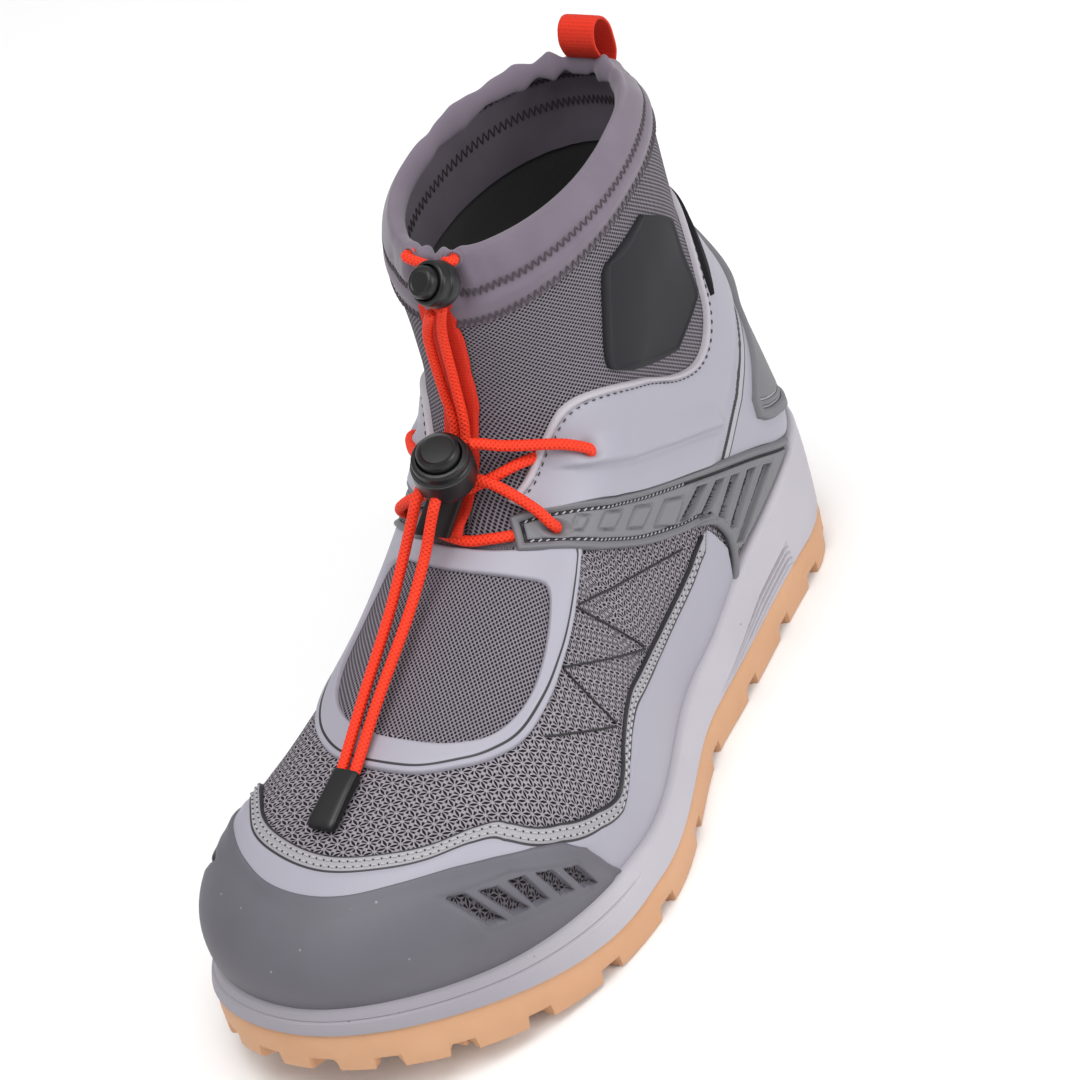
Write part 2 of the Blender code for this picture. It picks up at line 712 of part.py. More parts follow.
def make_cuff(finish):
    """The cuff's wall, with a roll for the cord along its top."""
    turn = turns()
    low = CUFF_SEAM_LEVEL + 0.03
    wall = [offset_skin(turn, at, 0.5) for at in (low, 12.5, 13.0)]
    middle = offset_skin(turn, CUFF_ROLL_LEVEL, -CUFF_ROLL_RADIUS + 0.5)
    outward = skin_normal(turn, 13.0)
    for angle in np.radians([-20, 30, 80, 130, 180, 225]):
        rise = np.array([0.0, 0.0, CUFF_ROLL_RADIUS * math.sin(angle)])
        wall.append(middle + outward * CUFF_ROLL_RADIUS * math.cos(angle) + rise)
    lining = [offset_skin(turn, at, 0.5 - CUFF_WALL) for at in (12.9, 12.5, low)]
    wall_solid("cuff", wall, lining, finish)


def slot_cutters(name, first, last, width, outer, finish):
    """Blocks through an overlay, one for each of a row of slots on one side."""
    shapes = []
    for step in np.linspace(0.0, 1.0, SLOT_COUNT):
        ends = np.array(first) + (np.array(last) - np.array(first)) * step
        turn, at = on_side(ends, outer)
        deep, proud = offset_skin(turn, at, -1.0), offset_skin(turn, at, 6.0)
        aside = np.cross(deep[1] - deep[0], skin_normal(turn, at)[0])
        aside *= width / 2.0 / np.linalg.norm(aside)
        points = [deep[0] - aside, deep[0] + aside, deep[1] + aside, deep[1] - aside]
        points += [proud[0] - aside, proud[0] + aside, proud[1] + aside, proud[1] - aside]
        faces = [(0, 1, 2, 3), (7, 6, 5, 4), (0, 4, 5, 1), (1, 5, 6, 2), (2, 6, 7, 3), (3, 7, 4, 0)]
        shapes.append((points, faces))
    return gather(f"{name} slots {'outer' if outer else 'inner'}", shapes, finish)


def both_sides(turns_aside):
    """Turns to one side, with the same to the other side."""
    return np.array([-turn for turn in turns_aside[:0:-1]] + turns_aside, float)


def make_toe_cap(finish):
    aside = both_sides([0, 7.5, 15, 22.5, 30, 37.5, 45, 52.5, 60, 64.5])
    turn = np.radians(180.0 + aside)
    low = lip_level(turn) + 0.06
    top = np.maximum(level_where(turn, table_at(CAP_TOP, 1, np.abs(aside))), low + 0.15)
    cap = overlay("toe_cap", ruled((turn, low), (turn, top), 6), 1.8, finish)
    for outer in (True, False):
        slots = slot_cutters("cap", CAP_SLOT_FIRST, CAP_SLOT_LAST, CAP_SLOT_WIDTH, outer, finish)
        combine(cap, slots, "DIFFERENCE")


def make_side_panel(finish):
    """Film around the foot above the midsole, over the toe behind the cap's edge."""
    front = [0, 7.5, 15, 22.5, 30, 37.5, 45, 52.5, 60]
    side = [63.75, 67.5, 71.25, 75, 78.75, 82.5, 90, 97.5, 105, 112.5]
    aside = both_sides(front + side)
    turn = np.radians(180.0 + aside)
    lip = lip_level(turn)
    cap = np.maximum(level_where(turn, table_at(CAP_TOP, 1, np.abs(aside))), lip)
    low = np.where(np.abs(aside) < CAP_TOP[-1][0] + 1.0, cap, lip) + 0.07
    top = np.maximum(level_where(turn, table_at(PANEL_RIM, 1, np.abs(aside))), low + 0.2)
    overlay("side_panel", ruled((turn, low), (turn, top), 4), 1.2, finish)


def make_heel_counter(finish):
    aside = both_sides([0, 7.5, 15, 22.5, 30, 37.5, 43.5])
    turn = np.radians(aside)
    low = level_where(turn, table_at(COUNTER_BAND, 1, np.abs(aside)))
    top = level_where(turn, table_at(COUNTER_BAND, 2, np.abs(aside)))
    overlay("heel_counter", ruled((turn, low), (turn, top), 7), 1.8, finish)


def make_vamp_frame(finish):
    columns = 44
    edges = [on_top(along(edge + edge[:1], columns + 1)[:-1]) for edge in (FRAME_OUTLINE, FRAME_WINDOW)]
    overlay("vamp_frame", ruled(*edges, 3), 1.1, finish, ring=True)


def make_sides(pale, grey, charcoal):
    for side, outer in (("outer", True), ("inner", False)):
        side_overlay(f"ankle_panel_{side}", PANEL_LOW, PANEL_TOP, outer, 5, 26, 2.4, pale)
        wing = side_overlay(f"wing_{side}", WING_LOW, WING_TOP, outer, 4, 26, 2.2, grey)
        slots = slot_cutters("wing", WING_SLOT_FIRST, WING_SLOT_LAST, WING_SLOT_WIDTH, outer, grey)
        combine(wing, slots, "DIFFERENCE")
    side_overlay("badge", BADGE_BACK, BADGE_FRONT, True, 5, 9, 1.0, charcoal)


def front_turn(at, y):
    """The turn at which the front of a level's loop passes y."""
    level = level_values(at)
    back = level["round_front"] * (1.0 - np.sqrt(1.0 - (y / level["ball_outer"]) ** 2))
    return turn_at(level["x_front"] - back, at, y > 0.0)


def make_throat_tape(finish):
    """Tape down the front of the neck, lifted at its lower end by the bar of the lace under it."""
    levels = np.append(np.linspace(12.9, 8.7, 10), [8.5, 8.4, 8.3, 8.1])
    middle = np.linspace(*TAPE_LEAN, len(levels))
    aside = np.linspace(-TAPE_WIDTH / 2.0, TAPE_WIDTH / 2.0, 5)
    at = np.repeat(levels[:, None], len(aside), axis=1)
    gap = 0.9 + 3.6 * smooth_step((8.6 - at) / 0.4)
    overlay("throat_tape", (front_turn(at, middle[:, None] + aside), at), TAPE_THICKNESS, finish, gap=gap)


def make_pull_loop(finish):
    """Webbing sewn up the back of the neck, with a free loop above the seam."""
    back = offset_skin(np.zeros(5), np.array([10.65, 11.1, 11.55, 12.0, 12.5]), 2.0)
    free = [
        (33.3, 0, 203), (35.5, 0, 213), (39, 0, 222.5), (43, 0, 229), (46.5, 0, 230.5), (49.5, 0, 228),
        (50.5, 0, 221), (48, 0, 213), (43, 0, 206.5), (38.5, 0, 202), (36.3, 0, 199),
    ]
    ribbon("pull_loop", along(np.concatenate([back, free]), 30), LOOP_WIDTH, LOOP_THICKNESS, finish)


def turned(name, profile, finish, at, axis, steps=16):
    """A turned piece: a profile of radius and height, closed on its axis, set along a direction."""
    angles = np.arange(steps) * 2.0 * math.pi / steps
    points = [(r * math.cos(a) * 0.001, r * math.sin(a) * 0.001, h * 0.001) for r, h in profile for a in angles]
    faces = ring_faces(len(profile), steps, closed=False)
    faces.append(tuple(range(steps)))
    faces.append(tuple(range(len(points) - steps, len(points))))
    made = link(name, outward_mesh(name, points, faces, split=True), finish)
    turn_to = Vector(axis).normalized().to_track_quat("Z", "X").to_matrix().to_4x4()
    made.matrix_world = Matrix.Translation(to_frame(at)) @ turn_to


def make_lock(name, at, axis, size, finish):
    """A cord lock: a barrel with a blind bore, and a button that springs out of it."""
    half = size["height"] / 2.0
    floor = half - size["depth"]
    body, ring, bore, button = (size[part] for part in ("body", "ring", "bore", "button"))
    turned(f"{name}_barrel", [
        (body * 0.72, -half), (body * 0.94, -half + 1.6), (body, -half + 4.5), (body, half - 4.0),
        (ring, half - 1.4), (ring - 0.7, half), (bore, half), (bore, floor),
    ], finish, at, axis)
    turned(f"{name}_button", [
        (button, floor + BUTTON_CLEAR), (button, half + BUTTON_STANDS - 1.2),
        (button - 0.9, half + BUTTON_STANDS), (button - 1.9, half + BUTTON_STANDS - 0.4),
    ], finish, at, axis)


def make_keeper_tab(finish):
    ribbon("keeper_tab", along(TAB_PATH, 6), TAB_WIDTH, TAB_THICKNESS, finish)


def off_skin(rows):
    """Places of a route given as turns in degrees, levels and standoffs."""
    turn, at, standoff = np.array(rows, float).T
    return offset_skin(np.radians(turn), at, standoff)


def make_lace(finish):
    """Bottom bar, crossing, reins and ends of the lace, which stop clear of the panels."""
    tube("lace_bar", off_skin(LACE_BAR), LACE_RADIUS, finish, 7)
    cross = tube("lace_cross", off_skin(LACE_OVER), LACE_RADIUS, finish, 12)
    combine(cross, tube("lace under arm", off_skin(LACE_UNDER), LACE_RADIUS, finish, 12), "UNION")
    tube("lace_rein_outer", off_skin(LACE_REIN_OUTER), LACE_RADIUS, finish, 8)
    tube("lace_rein_inner", off_skin(LACE_REIN_INNER), LACE_RADIUS, finish, 8)
    tube("lace_tail_outer", LACE_TAIL_OUTER, LACE_RADIUS, finish, 12)
    tube("lace_tail_inner", LACE_TAIL_INNER, LACE_RADIUS, finish, 12)


def make_end_clip(finish):
    """The clip that holds the two ends of the lace together."""
    top, low = np.array(CLIP_TOP), np.array(CLIP_LOW)
    length = np.linalg.norm(low - top)
    run = (low - top) / length
    wide = np.cross(run, (0.0, 0.0, 1.0))
    wide /= np.linalg.norm(wide)
    rise = np.cross(wide, run)
    loops = []
    for reach, half, thick in ((0.0, 4.4, 2.0), (1.6, 4.9, 2.3), (length - 3.0, 5.6, 2.3), (length, 4.8, 1.6)):
        corners = ((-1, -1), (1, -1), (1, 1), (-1, 1))
        loops.append([top + run * reach + wide * half * a + rise * thick * b for a, b in corners])
    faces = ring_faces(len(loops), 4, closed=False) + [(0, 1, 2, 3), (15, 14, 13, 12)]
    solid("end_clip", np.concatenate(loops), faces, finish)


def make_cuff_cord(finish):
    """The cuff's cord from its two holes to its lock, and down to the back of the lace lock."""
    axis = np.array(Vector(CUFF_LOCK_AXIS).normalized())
    across = np.cross(axis, (1.0, 0.0, 0.0))
    across /= np.linalg.norm(across)
    entry = np.array(CUFF_LOCK_AT) - np.cross(across, axis) * (CUFF_LOCK_SIZE["body"] + CUFF_CORD_RADIUS)
    for side, sign, route in (("outer", 1.0, CUFF_CORD_OUTER), ("inner", -1.0, CUFF_CORD_INNER)):
        hole = offset_skin(math.pi - sign * math.radians(CUFF_HOLE_TURN), CUFF_HOLE_LEVEL, 2.9)
        top = entry + across * sign * 2.4 - axis
        tube(f"cuff_cord_top_{side}", [hole, top], CUFF_CORD_RADIUS, finish, 3)
        tube(f"cuff_cord_{side}", route, CUFF_CORD_RADIUS, finish, 9)


def main():
    for old in list(bpy.data.objects):
        bpy.data.objects.remove(old)
    gum = material("gum rubber", (0.72, 0.45, 0.24), 0.7)
    foam = material("pale foam", (0.52, 0.50, 0.54), 0.8)
    mesh = material("stretch mesh", (0.22, 0.21, 0.23), 0.9)
    jersey = material("jersey", (0.25, 0.22, 0.26), 0.9)
    grey = material("grey rubber", (0.18, 0.18, 0.20), 0.6)
    pale = material("pale film", (0.40, 0.40, 0.44), 0.5)
    charcoal = material("charcoal rubber", (0.05, 0.05, 0.06), 0.6)
    black = material("black plastic", (0.02, 0.02, 0.022), 0.45)
    red = material("red braid", (0.85, 0.05, 0.02), 0.7)
    webbing = material("red webbing", (0.75, 0.04, 0.025), 0.7)
    make_outsole(gum)
    make_midsole(foam)
    make_insole(charcoal)
    make_upper(mesh)
    make_cuff(jersey)
    make_toe_cap(grey)
    make_side_panel(pale)
    make_vamp_frame(pale)
    make_sides(pale, grey, charcoal)
    make_heel_counter(grey)
    make_throat_tape(webbing)
    make_pull_loop(webbing)
    make_lace(red)
    make_end_clip(black)
    make_lock("lace_lock", LACE_LOCK_AT, LACE_LOCK_AXIS, LACE_LOCK_SIZE, black)
    make_keeper_tab(black)
    make_cuff_cord(red)
    make_lock("cuff_lock", CUFF_LOCK_AT, CUFF_LOCK_AXIS, CUFF_LOCK_SIZE, black)


main()
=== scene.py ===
"""Ankle-high wading shoe for the left foot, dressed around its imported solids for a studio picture.

Points are worked out in millimetres from the back of the heel (x, towards the toe), the middle of the
heel (y, towards the outer side) and the floor (z), and are moved to the part's frame as meshes are made.
"""

import math

import bmesh
import bpy
import numpy as np
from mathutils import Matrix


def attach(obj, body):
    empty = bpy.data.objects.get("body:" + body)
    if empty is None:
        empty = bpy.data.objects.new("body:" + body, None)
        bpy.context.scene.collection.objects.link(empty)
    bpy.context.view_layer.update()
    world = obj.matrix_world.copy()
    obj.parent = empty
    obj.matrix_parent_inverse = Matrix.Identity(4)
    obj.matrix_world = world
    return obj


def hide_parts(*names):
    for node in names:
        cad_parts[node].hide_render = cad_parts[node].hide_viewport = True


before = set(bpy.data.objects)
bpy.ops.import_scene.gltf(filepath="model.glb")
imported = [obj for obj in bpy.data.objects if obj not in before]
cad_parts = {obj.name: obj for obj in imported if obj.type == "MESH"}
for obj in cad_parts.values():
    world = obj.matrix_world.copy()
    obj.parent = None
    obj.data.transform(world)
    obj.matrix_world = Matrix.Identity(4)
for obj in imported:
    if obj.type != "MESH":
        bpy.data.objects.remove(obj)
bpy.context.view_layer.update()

# Outsole: one moulding of gum rubber with blocks around its rim and Z-shaped lugs between them. It is
# pressed in a mould and cemented under the midsole.

TURN = 2.0 * math.pi
CENTRE = np.array([155.0, -1.2095, 0.0])
SHOE_LENGTH = 310.0
LEVEL_COLUMNS = (
    "x_back", "x_front", "z_back", "z_front", "sag",
    "heel", "waist", "ball_outer", "ball_inner", "round_back", "round_front", "skew",
)
SOLE_LEVEL = (0, 310, 0, 0, 0, 42, 45, 61, 56, 44, 80, 0.25)
RIM_WIDTH = 13.0
TREAD_DEPTH = 5.5
NOTCH_COUNT = 28
NOTCH_WIDTH = 8.0
NOTCH_HEIGHT = 4.5
NOTCH_REACH = 8.1
TOE_SPRING = 17.5
HEEL_SPRING = 3.5
JOIN_HEIGHT = 15.0
JOIN_FALL = 2.5
JOIN_TOE_RISE = 5.5
OUTSOLE_WALL = [
    # distance inwards, rise from the tread, share of the way up to the midsole
    (0.25, 0.35, 0.0), (0.0, 1.1, 0.0), (-0.1, 0.0, 0.55), (0.2, 0.0, 0.9), (0.7, 0.0, 1.0),
]
LUG_PITCH = 31.0
LUG_ROWS = (-34.0, 0.0, 34.0)
LUG_GAP = 0.15
LUG_HALF = 11.5
LUG_BAR = 9.0
LUG_REACH = 13.0
LUG_SPAN = (24.0, 286.0)
LUG_NEAR = 23.0
FULL_LUG_WIDTH = 92.0
NUDGE = 1e-3


def smooth_step(share):
    """0 to 1 with level ends: 3s^2 - 2s^3."""
    share = np.clip(share, 0.0, 1.0)
    return share * share * (3.0 - 2.0 * share)


def unit(vectors):
    """Vectors brought to a length of 1."""
    return vectors / np.linalg.norm(vectors, axis=-1, keepdims=True)


def ground_height(x):
    """Underside of the tread: flat, turned up as a square at the toe and a little at the heel."""
    toe = np.clip((x - 215.0) / 95.0, 0.0, 1.0)
    heel = np.clip((26.0 - x) / 26.0, 0.0, 1.0)
    return TOE_SPRING * toe**2 + HEEL_SPRING * heel**2


def join_height(x):
    """Where the outsole meets the midsole: lower at the waist, up again around the toe."""
    toe = JOIN_TOE_RISE * smooth_step((x - 225.0) / 70.0)
    return 0.8 * ground_height(x) + JOIN_HEIGHT - JOIN_FALL * smooth_step(x / SHOE_LENGTH) + toe


def rounded_end(distance, length):
    """Share of the full width at a distance from an elliptical end."""
    inside = np.clip(1.0 - distance / length, 0.0, 1.0)
    return np.sqrt(1.0 - inside**2)


def middle_line(x):
    """The shoe's middle in plan: straight at the heel, turned to the big toe in front."""
    return -14.0 * np.clip((x - 150.0) / 160.0, 0.0, 1.0) ** 2


def half_width(x, level, outer):
    """Half width of a level's loop at x: heel, waist and ball widths blended, rounded at both ends."""
    to_waist = smooth_step((x - 45.0) / 80.0)
    to_ball = smooth_step((x - 125.0) / 80.0)
    ball = np.where(outer, level["ball_outer"], level["ball_inner"])
    taper = np.where(outer, 1.0 + level["skew"], 1.0 - level["skew"])
    width = level["heel"] + (level["waist"] - level["heel"]) * to_waist
    width = width + (ball - level["waist"]) * to_ball
    back = rounded_end(x - level["x_back"], level["round_back"])
    return width * back * rounded_end(level["x_front"] - x, level["round_front"] * taper)


def loop_plan(turn, level):
    """Plan position on a loop: turn 0 is the heel, pi the toe, and the outer side comes first."""
    share = (1.0 - np.cos(turn)) / 2.0
    x = level["x_back"] + (level["x_front"] - level["x_back"]) * share
    outer = np.sin(turn) >= 0.0
    return share, x, middle_line(x) + np.where(outer, 1.0, -1.0) * half_width(x, level, outer)


def sole_edge(turn, grow):
    """Plan outline of the sole, grown by a distance along its own normal."""
    level = {name: float(value) for name, value in zip(LEVEL_COLUMNS, SOLE_LEVEL)}
    turns = (turn - NUDGE, turn, turn + NUDGE)
    before, here, after = (np.stack(loop_plan(place, level)[1:], axis=-1) for place in turns)
    tangent = after - before
    normal = np.stack([-tangent[..., 1], tangent[..., 0]], axis=-1)
    return here + unit(normal) * np.asarray(grow)[..., None]


def sole_loop(turn, grow, height):
    """A loop on the sole's outline, grown in plan, at a height that is a function of x."""
    plan = sole_edge(turn, grow)
    return np.concatenate([plan, height(plan[..., 0])[..., None]], axis=-1)


def linear(code):
    """Linear colour of an sRGB hex code."""
    channels = np.array([int(code[place:place + 2], 16) for place in (1, 3, 5)]) / 255.0
    channels = np.where(channels <= 0.04045, channels / 12.92, ((channels + 0.055) / 1.055) ** 2.4)
    return (*channels.tolist(), 1.0)


def add(tree, kind, inputs=(), output=0, **settings):
    """Adds a node with its settings, fills its inputs with values or other outputs, and gives its output."""
    made = tree.nodes.new(kind)
    for name, value in settings.items():
        setattr(made, name, value)
    for key, value in dict(inputs).items():
        if isinstance(value, bpy.types.NodeSocket):
            tree.links.new(value, made.inputs[key])
        else:
            made.inputs[key].default_value = value
    return made.outputs[output]


def maths(tree, operation, *values):
    """One operation on values or other nodes' outputs."""
    return add(tree, "ShaderNodeMath", dict(enumerate(values)), operation=operation)


def mixed(tree, share, first, second):
    """A colour part of the way from one to another, each a hex code or another node's output."""
    ends = [linear(colour) if isinstance(colour, str) else colour for colour in (first, second)]
    return add(tree, "ShaderNodeMix", {0: share, 6: ends[0], 7: ends[1]}, 2, data_type="RGBA")


def noise(tree, size, detail):
    """Cloudy noise through the piece, in patches of a size in millimetres."""
    place = add(tree, "ShaderNodeTexCoord", output="Object")
    return add(tree, "ShaderNodeTexNoise", {"Vector": place, "Scale": 1000.0 / size, "Detail": detail})


def cells(tree, size, **settings):
    """Uneven cells through the piece, of a size in millimetres: the distance from the nearest middle."""
    place = add(tree, "ShaderNodeTexCoord", output="Object")
    return add(tree, "ShaderNodeTexVoronoi", {"Vector": place, "Scale": 1000.0 / size}, **settings)


def paint(tree, shader, colour):
    tree.links.new(colour, shader.inputs["Base Color"])


def bumped(tree, shader, height, strength, distance):
    """Gives a shader fine relief, with its full height as a distance in metres."""
    bump = add(tree, "ShaderNodeBump", {"Strength": strength, "Distance": distance, "Height": height})
    tree.links.new(bump, shader.inputs["Normal"])


def material(name, roughness, colour=None, **sockets):
    """A material with the values that are the same all over it, and its node tree and shader."""
    made = bpy.data.materials.new(name)
    made.use_nodes = True
    shader = made.node_tree.nodes["Principled BSDF"]
    if colour:
        shader.inputs["Base Color"].default_value = linear(colour)
    shader.inputs["Roughness"].default_value = roughness
    for socket, value in sockets.items():
        shader.inputs[socket.replace("_", " ")].default_value = value
    return made, made.node_tree, shader


def grid_faces(rows, columns):
    """Quads of a grid of points, row by row."""
    row, column = np.mgrid[0:rows - 1, 0:columns - 1].reshape(2, -1)
    corner = row * columns + column
    return np.stack([corner, corner + columns, corner + columns + 1, corner + 1], axis=-1).tolist()


def surface(points, across=None):
    """A grid of points as a surface: its points, its quads and its map, which is in millimetres."""
    rows, columns = points.shape[:2]
    chart = np.zeros((rows, columns, 2)) if across is None else np.stack(across, axis=-1)
    return points.reshape(-1, 3), grid_faces(rows, columns), chart.reshape(-1, 2)


def closed(loops, across=None):
    """A grid of points as a tube, with its first and last loops each filled with one face."""
    made = [surface(loops, across)]
    for loop in (loops[0, :-1], loops[-1, :-1]):
        made.append((loop, [list(range(len(loop)))], np.zeros((len(loop), 2))))
    return made


def in_frame(points):
    """Points in the part's frame, in metres."""
    return ((np.asarray(points, float) - CENTRE) * 0.001).tolist()


def piece(name, surfaces, finishes, stands_for=None, body="shoe", sharp=35.0, choose=None):
    """One object from surfaces that are merged where their points meet, turned outwards and smooth."""
    points = np.concatenate([part[0] for part in surfaces])
    chart = np.concatenate([part[2] for part in surfaces])
    faces, first = [], 0
    for part in surfaces:
        faces += [[first + corner for corner in face] for face in part[1]]
        first += len(part[0])
    mesh = bpy.data.meshes.new(name)
    mesh.from_pydata(in_frame(points), [], faces)
    corners = np.empty(len(mesh.loops), np.int32)
    mesh.loops.foreach_get("vertex_index", corners)
    mesh.uv_layers.new(name="map").data.foreach_set("uv", chart[corners].astype(np.float32).ravel())
    for finish in finishes if isinstance(finishes, (list, tuple)) else [finishes]:
        mesh.materials.append(finish)
    if choose is not None:
        mesh.polygons.foreach_set("material_index", np.asarray(choose, np.int32))
    work = bmesh.new()
    work.from_mesh(mesh)
    bmesh.ops.remove_doubles(work, verts=work.verts, dist=2e-6)
    bmesh.ops.delete(work, geom=[vertex for vertex in work.verts if not vertex.link_faces], context="VERTS")
    bmesh.ops.recalc_face_normals(work, faces=work.faces)
    work.to_mesh(mesh)
    work.free()
    mesh.shade_smooth()
    mesh.set_sharp_from_angle(angle=math.radians(sharp))
    made = bpy.data.objects.new(name, mesh)
    bpy.context.scene.collection.objects.link(made)
    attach(made, body)
    if stands_for:
        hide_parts(stands_for)
    return made


notch_turn = (np.arange(NOTCH_COUNT) + 0.5) * TURN / NOTCH_COUNT
notch_run = sole_edge(notch_turn + NUDGE, 0.0) - sole_edge(notch_turn - NUDGE, 0.0)
notch_speed = np.linalg.norm(notch_run, axis=-1) / (2.0 * NUDGE)


def notch_share(turn, inward):
    """1 in the notches between the rim's blocks, which narrow inwards and end inside the rim."""
    aside = np.abs((turn[:, None] - notch_turn + math.pi) % TURN - math.pi)
    along = aside.min(axis=1) * notch_speed[aside.argmin(axis=1)]
    half = NOTCH_WIDTH / 2.0 * (1.08 - 0.07 * inward)
    return smooth_step((half - along) / 0.5 + 0.5) * smooth_step((NOTCH_REACH - inward) / 0.5)


def make_outsole():
    """Rim, notched from below, and side wall, as loops of one section carried around the outline."""
    reach = NOTCH_WIDTH / 2.0 * 1.08
    sides = (-reach - 0.3, -reach + 0.3, reach - 0.3, reach + 0.3)
    ends = [notch_turn + side / notch_speed for side in sides]
    turn = np.unique(np.concatenate([np.linspace(0.0, TURN, 541), *ends]))
    loops = [sole_loop(turn, np.full(turn.shape, -RIM_WIDTH - 1.2), lambda x: ground_height(x) + TREAD_DEPTH)]
    for inward in (13.0, 8.8, 8.1, 7.6, 5.0, 2.4, 0.9):
        lift = NOTCH_HEIGHT * notch_share(turn, inward)
        loops.append(sole_loop(turn, np.full(turn.shape, -inward), lambda x: ground_height(x) + lift))
    lift = NOTCH_HEIGHT * notch_share(turn, 0.0)
    for inward, rise, share in OUTSOLE_WALL:
        wall = sole_loop(turn, np.full(turn.shape, -inward), ground_height)
        low = wall[:, 2] + lift
        wall[:, 2] = low + rise + (join_height(wall[:, 0]) - low - rise) * share
        loops.append(wall)
    return closed(np.array(loops))


def lug_solids():
    """Z-shaped lugs in staggered rows: prisms on the tread's floor, a hair shorter than the rim."""
    half, bar, reach = LUG_HALF, LUG_BAR, LUG_REACH
    zed = np.array([
        (half, -reach), (half, bar / 2.0), (-half + bar, bar / 2.0), (-half + bar, reach),
        (-half, reach), (-half, -bar / 2.0), (half - bar, -bar / 2.0), (half - bar, -reach),
    ])
    inner = sole_edge(np.linspace(0.0, TURN, 400), np.full(400, -RIM_WIDTH))
    solids = []
    for row, across in enumerate(LUG_ROWS):
        for step in range(10):
            x = LUG_PITCH * (step + 0.75 + 0.5 * (row % 2))
            near = inner[np.abs(inner[:, 0] - x) < LUG_NEAR, 1]
            if not LUG_SPAN[0] < x < LUG_SPAN[1] or not len(near):
                continue
            scale = min(1.0, (near.max() - near.min()) / FULL_LUG_WIDTH)
            plan = zed * (1.0, scale) + (x, across * scale + middle_line(x))
            low = np.column_stack([plan, ground_height(plan[:, 0]) + LUG_GAP])
            high = low + [0.0, 0.0, TREAD_DEPTH + 0.8]
            ring = np.arange(8)
            after = (ring + 1) % 8
            walls = np.stack([ring, after, after + 8, ring + 8], axis=-1).tolist()
            faces = walls + [ring.tolist(), (ring[::-1] + 8).tolist()]
            solids.append((np.concatenate([low, high]), faces, np.zeros((16, 2))))
    return solids


# Gum rubber is natural rubber without carbon black: warm, matt, a little cloudy, with a pebbled tread.
gum, tree, shader = material("gum rubber", 0.62, Specular_IOR_Level=0.35)
paint(tree, shader, mixed(tree, noise(tree, 22.0, 4.0), "#be8e69", "#cc9f7c"))
relief = maths(tree, "ADD", cells(tree, 1.6, feature="SMOOTH_F1"), noise(tree, 0.7, 2.0))
bumped(tree, shader, relief, 0.25, 0.0002)

piece("outsole_rim", make_outsole(), gum, "outsole", sharp=28.0)
lugs = piece("outsole_lugs", lug_solids(), gum)
soften = lugs.modifiers.new("moulded edges", "BEVEL")
soften.width = 0.0007
soften.segments = 2
soften.limit_method = "ANGLE"

# Midsole: one moulding of pale foam that cups the upper. Ribs are let into its sides at the heel, fine
# upright ribs run around the back, and a step runs around the toe.

UPPER_LEVELS = np.array([
    (9, 301, 31, 34, 12, 33.5, 36, 53, 50, 36, 72, 0.25),
    (6, 305, 43, 44, 10, 36, 38, 55, 52, 38, 72, 0.25),
    (5, 303, 55, 55, 6, 36.5, 38, 54, 51, 38, 68, 0.25),
    (7, 291, 69, 64, 4, 35, 37, 48.5, 46, 38, 60, 0.23),
    (9, 269, 81, 71, 2, 33.5, 36, 42.5, 40, 38, 51, 0.18),
    (11, 244, 92, 78, 0, 32, 34.5, 38, 36, 38, 45, 0.12),
    (14, 220, 102, 87, 0, 31, 33.5, 35, 33.5, 38, 41, 0.08),
    (17, 196, 112, 98, 0, 30.5, 33, 33.5, 33, 38, 41, 0),
    (22, 174, 122.5, 111.5, 0, 30.5, 32.5, 32.5, 32.5, 40, 44, 0),
    (27, 160, 134, 127, 0, 31, 33, 33, 33, 44, 50, 0),
    (31, 152, 147, 143.5, 0, 32.5, 35, 35, 35, 50, 56, 0),
    (33.5, 150, 165, 160, -2, 35, 37, 37, 37, 55, 58, 0),
    (34.5, 151.5, 187, 178, -5, 35, 36.5, 36.5, 36.5, 56, 56, 0),
    (38, 151, 198, 192, -3, 33.5, 35.5, 35.5, 35, 56, 56, 0),
    (46, 150, 206, 204, 0, 27, 28.5, 28.5, 28, 50, 50, 0),
])
LIP_HEIGHTS = np.array([
    # x, z
    (0, 50), (30, 49), (58, 42), (85, 38), (112, 29), (150, 24.5), (205, 25), (260, 30), (310, 41),
])
MIDSOLE_RIBS = np.array([
    # x, low share, high share, depth
    (0, 0.02, 0.42, 0), (55.8, 0.02, 0.42, 0), (57.2, 0.02, 0.42, 2.0), (80, 0.02, 0.42, 1.8),
    (95, 0.02, 0.36, 1.3), (112, 0.02, 0.24, 0.6), (126, 0.02, 0.14, 0), (310, 0.02, 0.14, 0),
])
MIDSOLE_SEAT = 0.4
LIP_THICKNESS = 3.6
TOP_LEVEL = 14.0


def through_rows(rows, at):
    """Smooth curve through a table's rows: cubic between two rows, with slopes from their neighbours."""
    rows = np.asarray(rows, float)
    at = np.clip(np.asarray(at, float), 0.0, len(rows) - 1.0)
    first = np.minimum(np.floor(at).astype(int), len(rows) - 2)
    share = (at - first)[..., None] if rows.ndim > 1 else at - first
    before, start, end, after = (rows[np.clip(first + step, 0, len(rows) - 1)] for step in (-1, 0, 1, 2))
    return 0.5 * (
        2.0 * start
        + (end - before) * share
        + (2.0 * before - 5.0 * start + 4.0 * end - after) * share**2
        + (3.0 * start - before - 3.0 * end + after) * share**3
    )


def table_at(rows, column, at):
    """A column of a table as a smooth function of its first column."""
    rows = np.asarray(rows, float)
    return through_rows(rows[:, column], np.interp(at, rows[:, 0], np.arange(len(rows))))


def level_values(level):
    return dict(zip(LEVEL_COLUMNS, np.moveaxis(through_rows(UPPER_LEVELS, level), -1, 0)))


